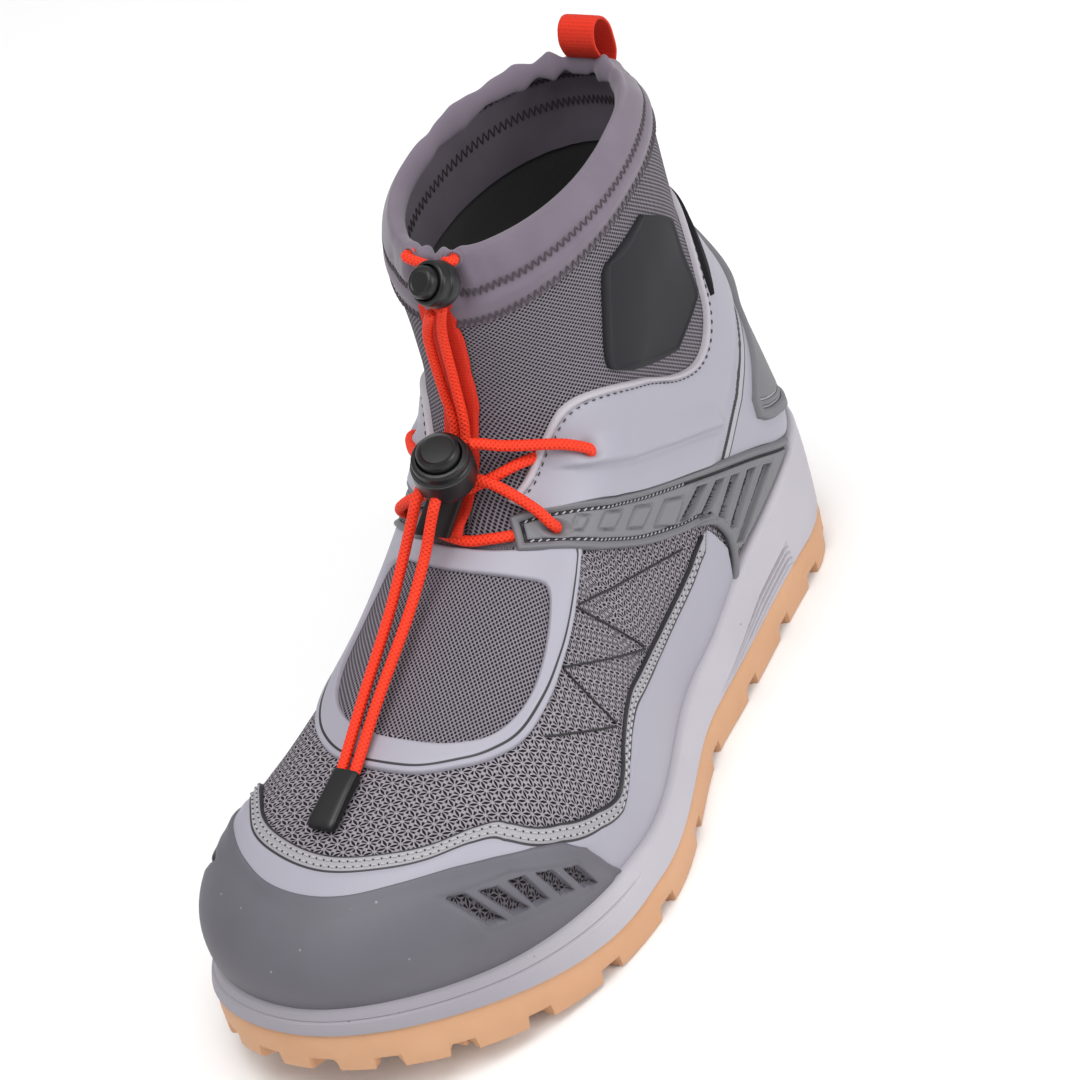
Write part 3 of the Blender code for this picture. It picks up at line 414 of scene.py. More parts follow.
def loop_height(share, level):
    """Height of a loop at its share of the way from the heel to the toe, with its sag as a parabola."""
    height = level["z_back"] + (level["z_front"] - level["z_back"]) * share
    return height - level["sag"] * 4.0 * share * (1.0 - share)


def skin(turn, at):
    """The upper's outer surface at a turn around it and a level above its feather edge."""
    turn, at = np.broadcast_arrays(np.asarray(turn, float), np.asarray(at, float))
    level = level_values(at)
    share, x, y = loop_plan(turn, level)
    return np.stack([x, y, loop_height(share, level)], axis=-1)


def skin_normal(turn, at):
    """Outward normal of the upper's surface: upward difference crossed with the one around it."""
    at = np.asarray(at, float)
    around = skin(turn + NUDGE, at) - skin(turn - NUDGE, at)
    upward = skin(turn, np.clip(at + NUDGE, 0.0, TOP_LEVEL)) - skin(turn, np.clip(at - NUDGE, 0.0, TOP_LEVEL))
    return unit(np.cross(upward, around))


def offset_skin(turn, at, offset):
    """The upper's surface moved out along its normal, or in by a negative offset."""
    turn, at, offset = np.broadcast_arrays(turn, at, np.asarray(offset, float))
    return skin(turn, at) + skin_normal(turn, at) * offset[..., None]


def find_level(is_above, shape):
    """The level where a test turns from false to true, found by halving."""
    low, high = np.zeros(shape), np.full(shape, TOP_LEVEL)
    for _ in range(32):
        middle = (low + high) / 2.0
        above = is_above(middle)
        low, high = np.where(above, low, middle), np.where(above, middle, high)
    return (low + high) / 2.0


def level_where(turn, height):
    """The level at which the upper's surface has a height, at a turn around it."""
    turn, height = np.broadcast_arrays(np.asarray(turn, float), np.asarray(height, float))
    return find_level(lambda at: skin(turn, at)[..., 2] > height, turn.shape)


def lip_level(turn):
    return level_where(turn, table_at(LIP_HEIGHTS, 1, skin(turn, 1.0)[..., 0]))


def bell(distance, width):
    """1 at no distance and next to nothing at twice the width: exp(-(d/w)^2)."""
    return np.exp(-((distance / width) ** 2))


def run_length(points):
    """Length along a line of points, from the first one to each."""
    return np.append(0.0, np.cumsum(np.linalg.norm(np.diff(points, axis=0), axis=1)))


def midsole_relief(x, share, heel_arc):
    """How far the side stands out: a soft belly, ribs in a wedge, the toe's step and the heel's ribs."""
    low, high, depth = (np.interp(x, MIDSOLE_RIBS[:, 0], MIDSOLE_RIBS[:, place]) for place in (1, 2, 3))
    within = (share - low) / (high - low)
    wedge = smooth_step(within / 0.05) * smooth_step((1.0 - within) / 0.05)
    comb = 0.68 - 0.32 * np.tanh(2.5 * np.cos(TURN * 4.0 * within + math.pi))
    front = smooth_step((x - 205.0) / 25.0)
    step = 0.5 * (1.0 - smooth_step((share - 0.6) / 0.03)) - 0.8 * bell(share - 0.62, 0.022)
    back = smooth_step((heel_arc - 22.0) / 4.0) * smooth_step((46.0 - heel_arc) / 4.0)
    back = back * smooth_step((share - 0.24) / 0.08) * smooth_step((0.72 - share) / 0.08)
    upright = back * (0.5 - 0.5 * np.cos(TURN * heel_arc / 4.0))
    return 0.5 * np.sin(math.pi * share) - 1.25 * depth * wedge * comb + front * step - 1.1 * upright


def make_midsole():
    """Side wall, rounded lip, cup and base, as loops around the sole's outline."""
    turn = np.linspace(0.0, TURN, 841)
    lip = lip_level(turn)
    flat = np.zeros(turn.shape)
    low = sole_loop(turn, flat, lambda x: join_height(x) + MIDSOLE_SEAT)
    high = offset_skin(turn, lip, LIP_THICKNESS)
    outward = skin_normal(turn, lip)
    arc = run_length(low)
    arc = np.minimum(arc, arc[-1] - arc)
    loops = [sole_loop(turn, flat - inset, lambda x: join_height(x) + MIDSOLE_SEAT) for inset in (2.0, 0.5)]
    for share in np.linspace(0.03, 0.94, 84):
        grow = midsole_relief(low[:, 0], share, arc)
        loops.append(low + (high - low) * share + outward * grow[:, None])
    for share, sink in ((0.98, 0.25), (1.0, 0.9)):
        loops.append(low + (high - low) * share - outward * sink)
    for at, offset in ((lip + 0.02, 1.6), (lip, 0.15), (lip * 0.5, 0.1), (0.0, 0.1)):
        loops.append(offset_skin(turn, at, offset))
    return closed(np.array(loops))


def ramp(tree, value, start, end, shape="LINEAR"):
    """0 to 1 as a value goes from a start to an end."""
    return add(tree, "ShaderNodeMapRange", {0: value, 1: start, 2: end}, interpolation_type=shape)


def dusted(tree, shader, colour, dust):
    """Puts a few specks of dust on a colour, each up to about 1 mm wide."""
    paint(tree, shader, mixed(tree, ramp(tree, cells(tree, 9.0), 0.06, 0.03), colour, dust))


# EVA foam, moulded under heat, has a thin closed skin: pale, dull, with a faint mottle and fine grain. It is
# painted a little darker around the toe: painted shade, where the toe faces away from the light.
foam, tree, shader = material("moulded EVA foam", 0.6, Specular_IOR_Level=0.35)
tone = mixed(tree, noise(tree, 30.0, 5.0), "#a8a4ac", "#b6b2b9")
ahead = add(tree, "ShaderNodeSeparateXYZ", {0: add(tree, "ShaderNodeTexCoord", output="Object")})
# Painted shade: the foam is painted darker from x 215 mm to 285 mm, towards the toe.
painted_toe_shade = ramp(tree, ahead, 0.06, 0.13, "SMOOTHSTEP")
dusted(tree, shader, mixed(tree, painted_toe_shade, tone, "#928e96"), "#77727a")
bumped(tree, shader, noise(tree, 0.6, 2.0), 0.12, 0.0002)

piece("midsole_foam", make_midsole(), foam, "midsole", sharp=50.0)

# Upper: one wall of two fabrics sewn under the overlays, air mesh on the foot, fine stretch mesh on the
# neck and in the vamp's window, with a dark lining inside.

FRAME_OUTLINE = [
    # x, y
    (174.6, 4), (173.2, 11), (168.5, 22), (163.5, 27), (159, 29.6), (160, 31.2), (163.5, 31.9),
    (168.5, 32.6), (177, 33.6), (188, 34.7), (203, 35.5), (217.5, 34), (227, 29.5), (235, 21), (242, 5),
    (241, -17), (233, -30), (220, -37), (203, -38), (187, -36.3), (177, -35), (168, -34), (161, -33.5),
    (154.5, -33), (152, -30.5), (159, -28.5), (167.5, -24), (172.5, -14), (174.6, -5),
]
FRAME_WINDOW = [
    (181, 4), (180, 11), (178.3, 18.5), (176.6, 24), (176.5, 26.4), (178.3, 27.8), (182, 28.9),
    (188, 30.1), (196, 31), (205.5, 31.1), (214.5, 29.3), (222, 25.6), (227, 19.8), (231, 9), (231.5, -8),
    (227.5, -21), (219, -29.5), (208, -33), (197, -33.5), (188, -32.5), (181.5, -31), (176.8, -29.5),
    (175.2, -27), (176, -22), (178.8, -14.5), (180.8, -5),
]
WINDOW_MIDDLE = (205.0, -3.0)
WINDOW_MARGIN = 0.06
UPPER_WALL = 2.2
NECK_TOP = 12.0
NECK_MAP_START = 100.0
LEAN = 0.785
WING_MIDDLE = [(20, 54), (60, 62), (95, 75), (134, 98), (162, 111), (177, 111.5), (178, 200)]


def depth_in(places, outline):
    """How far places lie inside a closed outline, by the nearest side, and negative outside it."""
    corner = np.asarray(outline, float)
    after = np.roll(corner, -1, axis=0)
    run = after - corner
    away = places[..., None, :] - corner
    share = np.clip((away * run).sum(-1) / (run * run).sum(-1), 0.0, 1.0)
    distance = np.linalg.norm(away - run * share[..., None], axis=-1).min(-1)
    x, y = places[..., None, 0], places[..., None, 1]
    crossed = (corner[:, 1] > y) != (after[:, 1] > y)
    rise = np.where(np.abs(run[:, 1]) < 1e-9, 1e-9, run[:, 1])
    inside = (crossed & (x < corner[:, 0] + run[:, 0] * (y - corner[:, 1]) / rise)).sum(-1) % 2 == 1
    return np.where(inside, distance, -distance)


def loop_share(x, level):
    return np.clip((x - level["x_back"]) / (level["x_front"] - level["x_back"]), 0.0, 1.0)


def ridge_level(x):
    """The level at which the top of the foot passes x, up to the foot of the neck."""
    return np.minimum(find_level(lambda at: level_values(at)["x_front"] < x, np.shape(x)), 8.6)


def draped_map(turn, at):
    """Map of cloth laid over the foot: length along its ridge, and length down from it at the same x."""
    stations = np.linspace(40.0, 300.0, 131)
    ridge = ridge_level(stations)
    share = np.linspace(0.0, 1.0, 90)
    level = level_values(ridge[:, None] * (1.0 - share**2))
    x = np.repeat(stations[:, None], len(share), axis=1)
    side = half_width(x, level, True)
    height = loop_height(loop_share(x, level), level)
    steps = [np.diff(axis, axis=1, prepend=axis[:, :1]) for axis in (side, height)]
    down = np.cumsum(np.hypot(*steps), axis=1)
    along = np.cumsum(np.hypot(np.gradient(stations), np.gradient(height[:, 0])))
    points = skin(turn, at)
    row = np.interp(points[..., 0], stations, np.arange(len(stations)))
    low = np.minimum(row.astype(int), len(stations) - 2)
    column = np.sqrt(np.clip(1.0 - at / ridge_level(points[..., 0]), 0.0, 1.0)) * (len(share) - 1.0)
    left = np.minimum(column.astype(int), len(share) - 2)
    a, b = row - low, column - left
    depth = (down[low, left] * (1 - a) * (1 - b) + down[low + 1, left] * a * (1 - b)
             + down[low, left + 1] * (1 - a) * b + down[low + 1, left + 1] * a * b)
    return np.interp(points[..., 0], stations, along), np.where(np.sin(turn) >= 0.0, depth, -depth)


def edge_distances(points):
    """Distance along a grid's surface from its first row, last row, first column and last column."""
    up = np.cumsum(np.linalg.norm(np.diff(points, axis=0, prepend=points[:1]), axis=-1), axis=0)
    over = np.cumsum(np.linalg.norm(np.diff(points, axis=1, prepend=points[:, :1]), axis=-1), axis=1)
    return up, up[-1:] - up, over, over[:, -1:] - over


def make_upper():
    """Outside and inside of the wall, and which fabric each face is cut from."""
    turn, at = np.meshgrid(np.linspace(0.0, TURN, 381), np.linspace(0.0, NECK_TOP, 109))
    outside = offset_skin(turn, at, 0.0)
    window = np.array(FRAME_WINDOW) + (np.array(FRAME_WINDOW) - WINDOW_MIDDLE) * WINDOW_MARGIN
    in_window = (depth_in(outside[..., :2], window) > 0.0) & (at > 3.0)
    neck = outside[..., 2] > np.interp(outside[..., 0], *np.array(WING_MIDDLE, float).T)
    along, down = draped_map(turn, at)
    around = edge_distances(outside)[2]
    middle = turn.shape[1] // 2
    for length, x in zip(around, outside[..., 0]):
        length[:middle] -= np.interp(NECK_MAP_START, x[:middle], length[:middle])
        length[middle:] -= np.interp(-NECK_MAP_START, -x[middle:], length[middle:])
    chart = (np.where(neck, around, along), np.where(neck, outside[..., 2], down))
    fine = neck | in_window
    choose = fine[:-1, :-1].ravel().astype(int).tolist()
    turn_in, at_in = np.meshgrid(np.linspace(0.0, TURN, 381), np.linspace(0.0, NECK_TOP, 31))
    inside = offset_skin(turn_in, at_in, -UPPER_WALL)
    surfaces = [surface(outside, chart), surface(inside, (turn_in * 46.0, at_in * 14.0))]
    surfaces += [surface(np.stack([outside[row], inside[row]])) for row in (0, -1)]
    choose += [2] * sum(len(part[1]) for part in surfaces[1:])
    return surfaces, choose


def lattice(tree, width, height, lean=0.0):
    """Places on the piece's map, in steps of a width and a height in millimetres, turned by a lean."""
    chart = add(tree, "ShaderNodeUVMap", uv_map="map")
    steps = {"Vector": chart, "Scale": (1.0 / width, 1.0 / height, 1.0), "Rotation": (0, 0, lean)}
    return add(tree, "ShaderNodeMapping", steps)


def knots(tree, places, output="Distance", randomness=0.0):
    """One knot to each step of a lattice: how far the nearest one is, or where it is."""
    inputs = {"Vector": places, "Scale": 1.0, "Randomness": randomness}
    return add(tree, "ShaderNodeTexVoronoi", inputs, output, voronoi_dimensions="2D")


def hole_colours(tree, shader, mask, dark, light, glint):
    """Colours threads and the holes between them by a mask that is 1 in the holes."""
    thread = mixed(tree, noise(tree, 0.8, 2.0), light, glint)
    paint(tree, shader, mixed(tree, mask, thread, dark))
    bumped(tree, shader, maths(tree, "SUBTRACT", 1.0, mask), 0.5, 0.0004)


# Warp-knit air mesh: light yarns meet in stars, with dark slits between their rays, in staggered rows. A
# second copy with darker colours is painted shade, for the mesh on the floors of the rubber's slots.
def star_mesh(name, dark, light, glint):
    """Staggered stars of light yarn: eight rays around each knot of a lattice, cut off at hub and rim."""
    made, tree, shader = material(name, 0.85, Specular_IOR_Level=0.2)
    places = lattice(tree, 3.3, 4.4, LEAN)
    centre = knots(tree, places, "Position")
    away = add(tree, "ShaderNodeVectorMath", {0: places, 1: centre}, operation="SUBTRACT")
    split = add(tree, "ShaderNodeSeparateXYZ", {0: away}).node
    angle = maths(tree, "ARCTAN2", split.outputs[1], split.outputs[0])
    rays = maths(tree, "COSINE", maths(tree, "MULTIPLY", angle, 8.0))
    radius = add(tree, "ShaderNodeVectorMath", {0: away}, "Value", operation="LENGTH")
    slits = ramp(tree, rays, -0.5, 0.0, "SMOOTHSTEP")
    for start, end in ((0.13, 0.22), (0.6, 0.48)):
        slits = maths(tree, "MULTIPLY", slits, ramp(tree, radius, start, end, "SMOOTHSTEP"))
    hole_colours(tree, shader, slits, dark, light, glint)
    return made


air = star_mesh("warp-knit air mesh", "#121114", "#767078", "#a39ca4")
# The same mesh painted darker all over: painted shade for the floors of slots.
painted_shade_air = star_mesh("warp-knit air mesh, painted shade under slots", "#0a090b", "#454147", "#635e65")

# Stretch mesh: a fine knit with oval holes in staggered rows, the nearest about 1.2 mm apart.
stretch, tree, shader = material("fine stretch mesh", 0.8, Specular_IOR_Level=0.2)
holes = ramp(tree, knots(tree, lattice(tree, 1.3, 1.05, LEAN)), 0.46, 0.29, "SMOOTHSTEP")
hole_colours(tree, shader, holes, "#19181b", "#6f6972", "#8e8791")

# Lining: dark brushed knit.
lining, tree, shader = material("dark brushed knit", 0.95, Sheen_Weight=0.3)
paint(tree, shader, mixed(tree, noise(tree, 1.2, 3.0), "#121114", "#2a282c"))

surfaces, choose = make_upper()
piece("upper_fabric", surfaces, [air, stretch, lining], "upper", choose=choose)

# Insole: a die-cut foam sheet with a dark cloth top, laid in the upper. The solid has its shape, so it is
# kept and faced with the lining's cloth.
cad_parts["insole"].data.materials.clear()
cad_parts["insole"].data.materials.append(lining)

# Cuff: soft jersey doubled over a cord tunnel and sewn to the neck with zigzag rows. It is a wall that
# rolls inwards along its top, gathered by the cord at the front and slack at the back.

CUFF_HEM = 11.98
CUFF_RIM = 13.62
CUFF_ROLL_RADIUS = 2.8
CUFF_CREASES = [
    # turn in degrees, level, reach around in degrees, reach up in levels, height of the fold
    (180, 13.3, 3.2, 0.55, -1.5), (174, 13.2, 2.4, 0.6, 0.9), (186.5, 13.2, 2.4, 0.6, 0.9),
    (168.5, 13.1, 2.4, 0.5, -0.9), (192, 13.1, 2.4, 0.5, -0.9), (162.5, 13.2, 2.8, 0.4, 0.5),
    (198.5, 13.2, 3.0, 0.4, 0.5), (152, 13.0, 3.4, 0.4, -0.4), (210, 13.1, 4.0, 0.4, -0.5),
    (10, 13.4, 3.0, 0.5, -1.1), (349, 13.3, 3.5, 0.5, -1.2), (17, 13.2, 3.0, 0.5, 0.8),
    (341, 13.3, 3.0, 0.5, 0.9), (332, 13.2, 3.5, 0.5, -1.0), (323, 13.3, 3.5, 0.4, 0.7),
    (27, 13.3, 3.5, 0.4, -0.7), (305, 13.4, 4.5, 0.4, -0.6), (291, 13.2, 4.0, 0.4, 0.6),
    (276, 13.3, 4.0, 0.4, -0.6), (48, 13.3, 5.0, 0.4, 0.4),
]


def cuff_folds(turn, at):
    """Listed folds of the jersey: soft troughs and ridges, each a bell in turn and level."""
    folds = np.zeros(np.broadcast(turn, at).shape)
    for middle, level, reach, rise, height in CUFF_CREASES:
        aside = (np.degrees(turn) - middle + 180.0) % 360.0 - 180.0
        folds = folds + 1.3 * height * np.exp(-((aside / reach) ** 2) - ((at - level) / rise) ** 2)
    return folds


def make_cuff():
    """Outer wall with a puff between its rows of stitches, the rolled rim, and the jersey inside it."""
    turn = np.linspace(0.0, TURN, 481)
    wall = []
    dip = 0.2 * smooth_step((np.cos(turn) - 0.2) / 0.6)
    for at in np.linspace(CUFF_HEM, CUFF_RIM, 36):
        puff = 0.9 * math.sin(math.pi * min(max((at - 12.1) / 0.68, 0.0), 1.0)) ** 2
        puff += 0.6 * smooth_step((at - 12.85) / 0.2)
        hem = 0.35 + 0.5 * smooth_step((at - 12.0) / 0.06)
        sunk = at - dip * (at - CUFF_HEM) / (CUFF_RIM - CUFF_HEM)
        wall.append(offset_skin(turn, sunk, hem + puff + cuff_folds(turn, at)))
    middle = offset_skin(turn, 13.66 - dip, 1.2 - CUFF_ROLL_RADIUS)
    outward = skin_normal(turn, np.full(turn.shape, 13.3))
    for angle in np.radians(np.linspace(24.0, 205.0, 20)):
        swell = CUFF_ROLL_RADIUS + 0.8 * cuff_folds(turn, 13.35 + 0.12 * math.sin(angle))
        rise = np.array([0.0, 0.0, math.sin(angle)])
        wall.append(middle + (outward * math.cos(angle) + rise) * swell[:, None])
    for at in np.append(np.linspace(13.1, 12.0, 16), np.linspace(11.9, 11.15, 8)):
        sag = 0.5 * math.sin(5.0 * at)
        wall.append(offset_skin(turn, at, -2.6 + 0.25 * sag - 0.4 * np.abs(cuff_folds(turn, max(at, 12.7)))))
    wall = np.array(wall)
    up = edge_distances(wall)[0]
    return [surface(wall, (np.broadcast_to(turn * 42.0, up.shape), up))]


# Jersey: a fine two-way knit with a soft nap, mauve-grey.
jersey, tree, shader = material("nylon jersey", 0.75, Specular_IOR_Level=0.25, Sheen_Weight=0.25)
paint(tree, shader, mixed(tree, noise(tree, 14.0, 3.0), "#625965", "#746a77"))
bumped(tree, shader, knots(tree, lattice(tree, 0.5, 0.7), randomness=0.35), 0.25, 0.0002)

piece("cuff_jersey", make_cuff(), jersey, "cuff", sharp=70.0)


def circle(first, second, angle):
    """Directions at angles around a circle, from one direction towards a second."""
    return first * np.cos(angle)[:, None] + second * np.sin(angle)[:, None]


def stitches(starts, ends, normals, thickness):
    """Stitches as small rods with sunk ends, each a ring of six around a line between two points."""
    starts, ends, normals = (np.asarray(value, float) for value in (starts, ends, normals))
    run = ends - starts
    side = unit(np.cross(run, normals))
    share = np.array([0.0, 0.14, 0.5, 0.86, 1.0])
    bulge = np.array([0.0, 0.85, 1.0, 0.85, 0.0]) * thickness / 2.0
    angle = np.arange(7) * TURN / 6.0
    lift = thickness * 0.35 * (1.0 - (2.0 * share - 1.0) ** 2)
    middle = starts[:, None] + run[:, None] * share[:, None] + normals[:, None] * lift[:, None]
    around = circle(side[:, None, None], normals[:, None, None], angle)
    points = middle[:, :, None] + around * bulge[:, None, None]
    faces = np.array(grid_faces(5, 7))
    faces = (faces + np.arange(len(starts))[:, None, None] * 35).reshape(-1, 4)
    return points.reshape(-1, 3), faces.tolist(), np.zeros((len(starts) * 35, 2))


def zigzag(turn, low, high, offset):
    """A zigzag row around a turn range: stitches that go up and down between two levels."""
    at = np.where(np.arange(len(turn)) % 2 == 0, low, high)
    points = offset_skin(turn, at, offset)
    normals = skin_normal(turn, at)
    return stitches(points[:-1], points[1:], normals[:-1], 0.5)


def at_lengths(values, arc, steps):
    """Rows of values at steps along a line, from the length of the line up to each row."""
    return np.column_stack([np.interp(steps, arc, column) for column in values.T])


def stitch_row(turn, at, offset, pitch, length, thickness, phase=0.0, slant=0.0):
    """A running row of stitches along a line on the upper: each one a length long, a pitch apart."""
    points = offset_skin(turn, at, offset)
    normals = skin_normal(turn, at)
    arc = run_length(points)
    middles = np.arange(pitch + phase, arc[-1] - pitch, pitch)
    starts = at_lengths(points, arc, middles - length / 2.0)
    ends = at_lengths(points, arc, middles + length / 2.0)
    upright = at_lengths(normals, arc, middles)
    aside = np.cross(upright, ends - starts) / length * slant
    return stitches(starts - aside, ends + aside, upright, thickness)


def line_at(turn, at, distance, reach):
    """The line on a grid where a distance that falls from row to row has a value."""
    row = np.clip((distance > reach).sum(axis=0) - 1, 0, len(distance) - 2)
    column = np.arange(turn.shape[1])
    high, low = distance[row, column], distance[row + 1, column]
    share = np.clip((high - reach) / np.maximum(high - low, 1e-9), 0.0, 1.0)
    wide = distance.max(axis=0) > reach + 0.5
    pairs = [(grid[row, column], grid[row + 1, column]) for grid in (turn, at)]
    return tuple((first + (second - first) * share)[wide] for first, second in pairs)


# Sewing threads: bonded nylon, slightly shiny, matched to what they sew.
dark_thread = material("dark sewing thread", 0.55, "#1f1d21")[0]
light_thread = material("light sewing thread", 0.55, "#a9a6ab")[0]
mauve_thread = material("mauve sewing thread", 0.6, "#7a707c")[0]
cuff_thread = material("brown sewing thread", 0.6, "#453c43")[0]

around = np.linspace(0.0, TURN, 261)
rows = [
    zigzag(around, 11.98, 12.2, 1.15 + cuff_folds(around, 12.1)),
    zigzag(around, 12.7, 12.94, 1.15 + cuff_folds(around, 12.85)),
    zigzag(around, 12.62, 12.95, -2.75 - 0.4 * np.abs(cuff_folds(around, 12.8))),
    zigzag(around, 11.75, 11.95, -2.8 - 0.4 * np.abs(cuff_folds(around, 12.7))),
]
piece("cuff_stitches", rows, cuff_thread)

# Side embroidery: dark thread sewn in a zigzag on the air mesh of both sides, from the wing down to the side
# panel's edge.

SIDES = (("outer", True), ("inner", False))
EMBROIDERY = [(112, 66), (175, 93), (154, 60), (193, 84), (190, 60), (216, 76)]


def turn_at(x, at, outer):
    """The turn at which a level's loop passes x on one side."""
    turn = np.arccos(1.0 - 2.0 * loop_share(x, level_values(at)))
    return np.where(outer, turn, TURN - turn)


def on_side(places, outer):
    """Turn and level of places in the side view (x, z) on one side of the upper."""
    x, z = np.asarray(places, float).T

    def is_above(at):
        level = level_values(at)
        return loop_height(loop_share(x, level), level) > z

    at = find_level(is_above, x.shape)
    return turn_at(x, at, outer), at


for side, outer in SIDES:
    legs = [on_side(np.linspace(start, end, 60), outer) for start, end in zip(EMBROIDERY, EMBROIDERY[1:])]
    piece(f"embroidery_{side}", [stitch_row(*leg, 0.15, 1.5, 1.75, 0.8) for leg in legs], dark_thread)

# Toe cap: moulded rubber bonded over the front of the upper, with five slots on each side that show the
# mesh. The slots are let into its surface down to the mesh.

CAP_TOP = np.array([
    # degrees from the toe, z
    (0, 66), (10, 66), (22, 66), (33, 65), (42, 62.5), (50, 58.5), (56, 53.6), (60, 46.7), (62, 39.8),
    (63.6, 33.5), (64.8, 29), (65.6, 26),
])
CAP_SLOT_SHARE = 0.58
FLOOR_HEIGHT = 0.3
CAP_SLOTS = [
    ((270.4, 59.6), (265.8, 47.4)), ((263, 57), (258, 45.4)), ((255, 54.9), (251, 42.9)),
    ((246.8, 51.1), (241.8, 39.3)), ((238, 45.8), (232.6, 34.5)),
]
CAP_TRAY = [(275, 62), (270, 45), (231, 31), (234, 46), (255, 58)]


def crowded(count, weight=0.8):
    """Shares from 0 to 1 that lie closer together towards both ends, by a cosine."""
    share = np.linspace(0.0, 1.0, count)
    return (1.0 - weight) * share + weight * (1.0 - np.cos(math.pi * share)) / 2.0


def between(low, top, rows):
    """A grid of turns and levels between two edges, with its rows crowded towards them."""
    share = crowded(rows)[:, None]
    return tuple(a + (b - a) * share for a, b in zip(low, top))


def underside(points, step=6):
    """A grid's quads on every few rows only; the faces at its two sides keep all the points of the edge."""
    rows, columns = points.shape[:2]
    number = np.arange(rows * columns).reshape(rows, columns)
    kept = np.unique(np.append(np.arange(0, rows, step), rows - 1))
    faces = []
    for low, high in zip(kept[:-1], kept[1:]):
        first, last = number[low, 1:-1], number[high, 1:-1]
        faces += np.stack([first[:-1], last[:-1], last[1:], first[1:]], axis=-1).tolist()
        faces.append(number[low:high + 1, 0].tolist() + [int(last[0]), int(first[0])])
        faces.append(number[low:high + 1, -1][::-1].tolist() + [int(first[-1]), int(last[-1])])
    return points.reshape(-1, 3), faces, np.zeros((rows * columns, 2))


def shell(turn, at, height, chart=None, foot=0.12, ring=False):
    """Outside and underside of a sheet laid on the upper, which meet along its edges."""
    outside = offset_skin(turn, at, height)
    under = offset_skin(turn, at, foot)
    rim = np.ones(turn.shape, bool)
    rim[1:-1, slice(None) if ring else slice(1, -1)] = False
    outside[rim] = under[rim]
    return [surface(outside, chart), underside(under)]


def slot_depth(points, slots, share, outer):
    """How deep places on the upper lie inside the nearest of a row of slots, whose ends follow the row."""
    far = 50.0
    depth = np.full(points.shape[:-1], -far)
    starts = skin(*on_side([start for start, end in slots], outer))
    finishes = skin(*on_side([end for start, end in slots], outer))
    rows = np.gradient(starts, axis=0)
    for start, end, row in zip(starts, finishes, rows):
        run = end - start
        lean = np.array([[row @ row, row @ run], [row @ run, run @ run]])
        away = points - start
        shares = np.stack([away @ row, away @ run], axis=-1) @ np.linalg.inv(lean)
        area = np.linalg.norm(np.cross(row, run))
        across = (share / 2.0 - np.abs(shares[..., 0])) * area / np.linalg.norm(run)
        ends = np.minimum(shares[..., 1], 1.0 - shares[..., 1]) * area / np.linalg.norm(row)
        near = np.linalg.norm(away, axis=-1) < far
        depth = np.maximum(depth, np.where(near, np.minimum(across, ends), -far))
    return depth


def slot_faces(depth, surfaces):
    """Which of two finishes each face takes: the second on the floors of slots, in the first surface only."""
    floor = (depth[:-1, :-1] > 0.35).ravel().astype(int).tolist()
    return floor + [0] * sum(len(part[1]) for part in surfaces[1:])


def make_toe_cap():
    aside = np.concatenate([
        np.linspace(-65.6, -31, 200), np.linspace(-30.7, 30.7, 76), np.linspace(31, 65.6, 200),
    ])
    turn = np.radians(180.0 + aside)
    low = lip_level(turn) - 0.05
    top = np.maximum(level_where(turn, table_at(CAP_TOP, 1, np.abs(aside))), low + 0.02)
    turn, at = between((turn, low), (turn, top), 84)
    base = skin(turn, at)
    to_top, to_start, to_end = edge_distances(base)[1:]
    edge = np.minimum.reduce([to_top, to_start, to_end])
    dish = 0.45 * bell(to_top - 5.0, 3.0)
    on_outer = base[..., 1] > middle_line(base[..., 0])
    sides = [slot_depth(base, CAP_SLOTS, CAP_SLOT_SHARE, outer) for outer in (True, False)]
    slots = np.where(on_outer, *sides)
    tray = 0.5 * smooth_step(depth_in(base[..., [0, 2]], CAP_TRAY) / 1.2)
    height = 2.5 * rounded_end(edge, 1.4) - dish - tray - 1.9 * smooth_step(slots / 0.5 + 0.5)
    surfaces = shell(turn, at, np.maximum(height, FLOOR_HEIGHT), draped_map(turn, at))
    return surfaces, slot_faces(slots, surfaces)


# Moulded overlay rubber: dark grey, matt, with a fine leathery grain.
rubber, tree, shader = material("moulded grey rubber", 0.58, Specular_IOR_Level=0.4)
dusted(tree, shader, mixed(tree, noise(tree, 26.0, 4.0), "#57555c", "#64626a"), "#86848b")
bumped(tree, shader, noise(tree, 0.5, 2.0), 0.12, 0.0001)

surfaces, choose = make_toe_cap()
# The slot floors take the air mesh painted darker: painted shade.
piece("toe_cap_rubber", surfaces, [rubber, painted_shade_air], "toe_cap", choose=choose, sharp=60.0)

# Side panel: pale film bonded around the foot, piped along its upper edge, with a sewn light strip under the
# piping and a dark line below the strip.

PANEL_RIM = np.array([
    # degrees from the toe, z
    (0, 70), (14, 70), (26, 69.5), (36, 69), (44, 66.5), (56, 58), (64, 51.5), (69, 48.4), (71.2, 52),
    (73, 56), (76, 59.6), (79.5, 61.4), (84, 60.3), (89, 58.8), (94, 57.2), (99, 57), (105, 59.3),
    (109, 62), (111.5, 62), (113, 58), (114.5, 53), (116, 48),
])
STRIP_FROM = 0.8
STRIP_TO = 5.2
LINE_TO = 6.0
STRIP_SEAMS = (2.0, 4.1)
STRIP_END = 110.0
BAND_BLUR = 0.08
MAP_X, MAP_Y = 0, 1


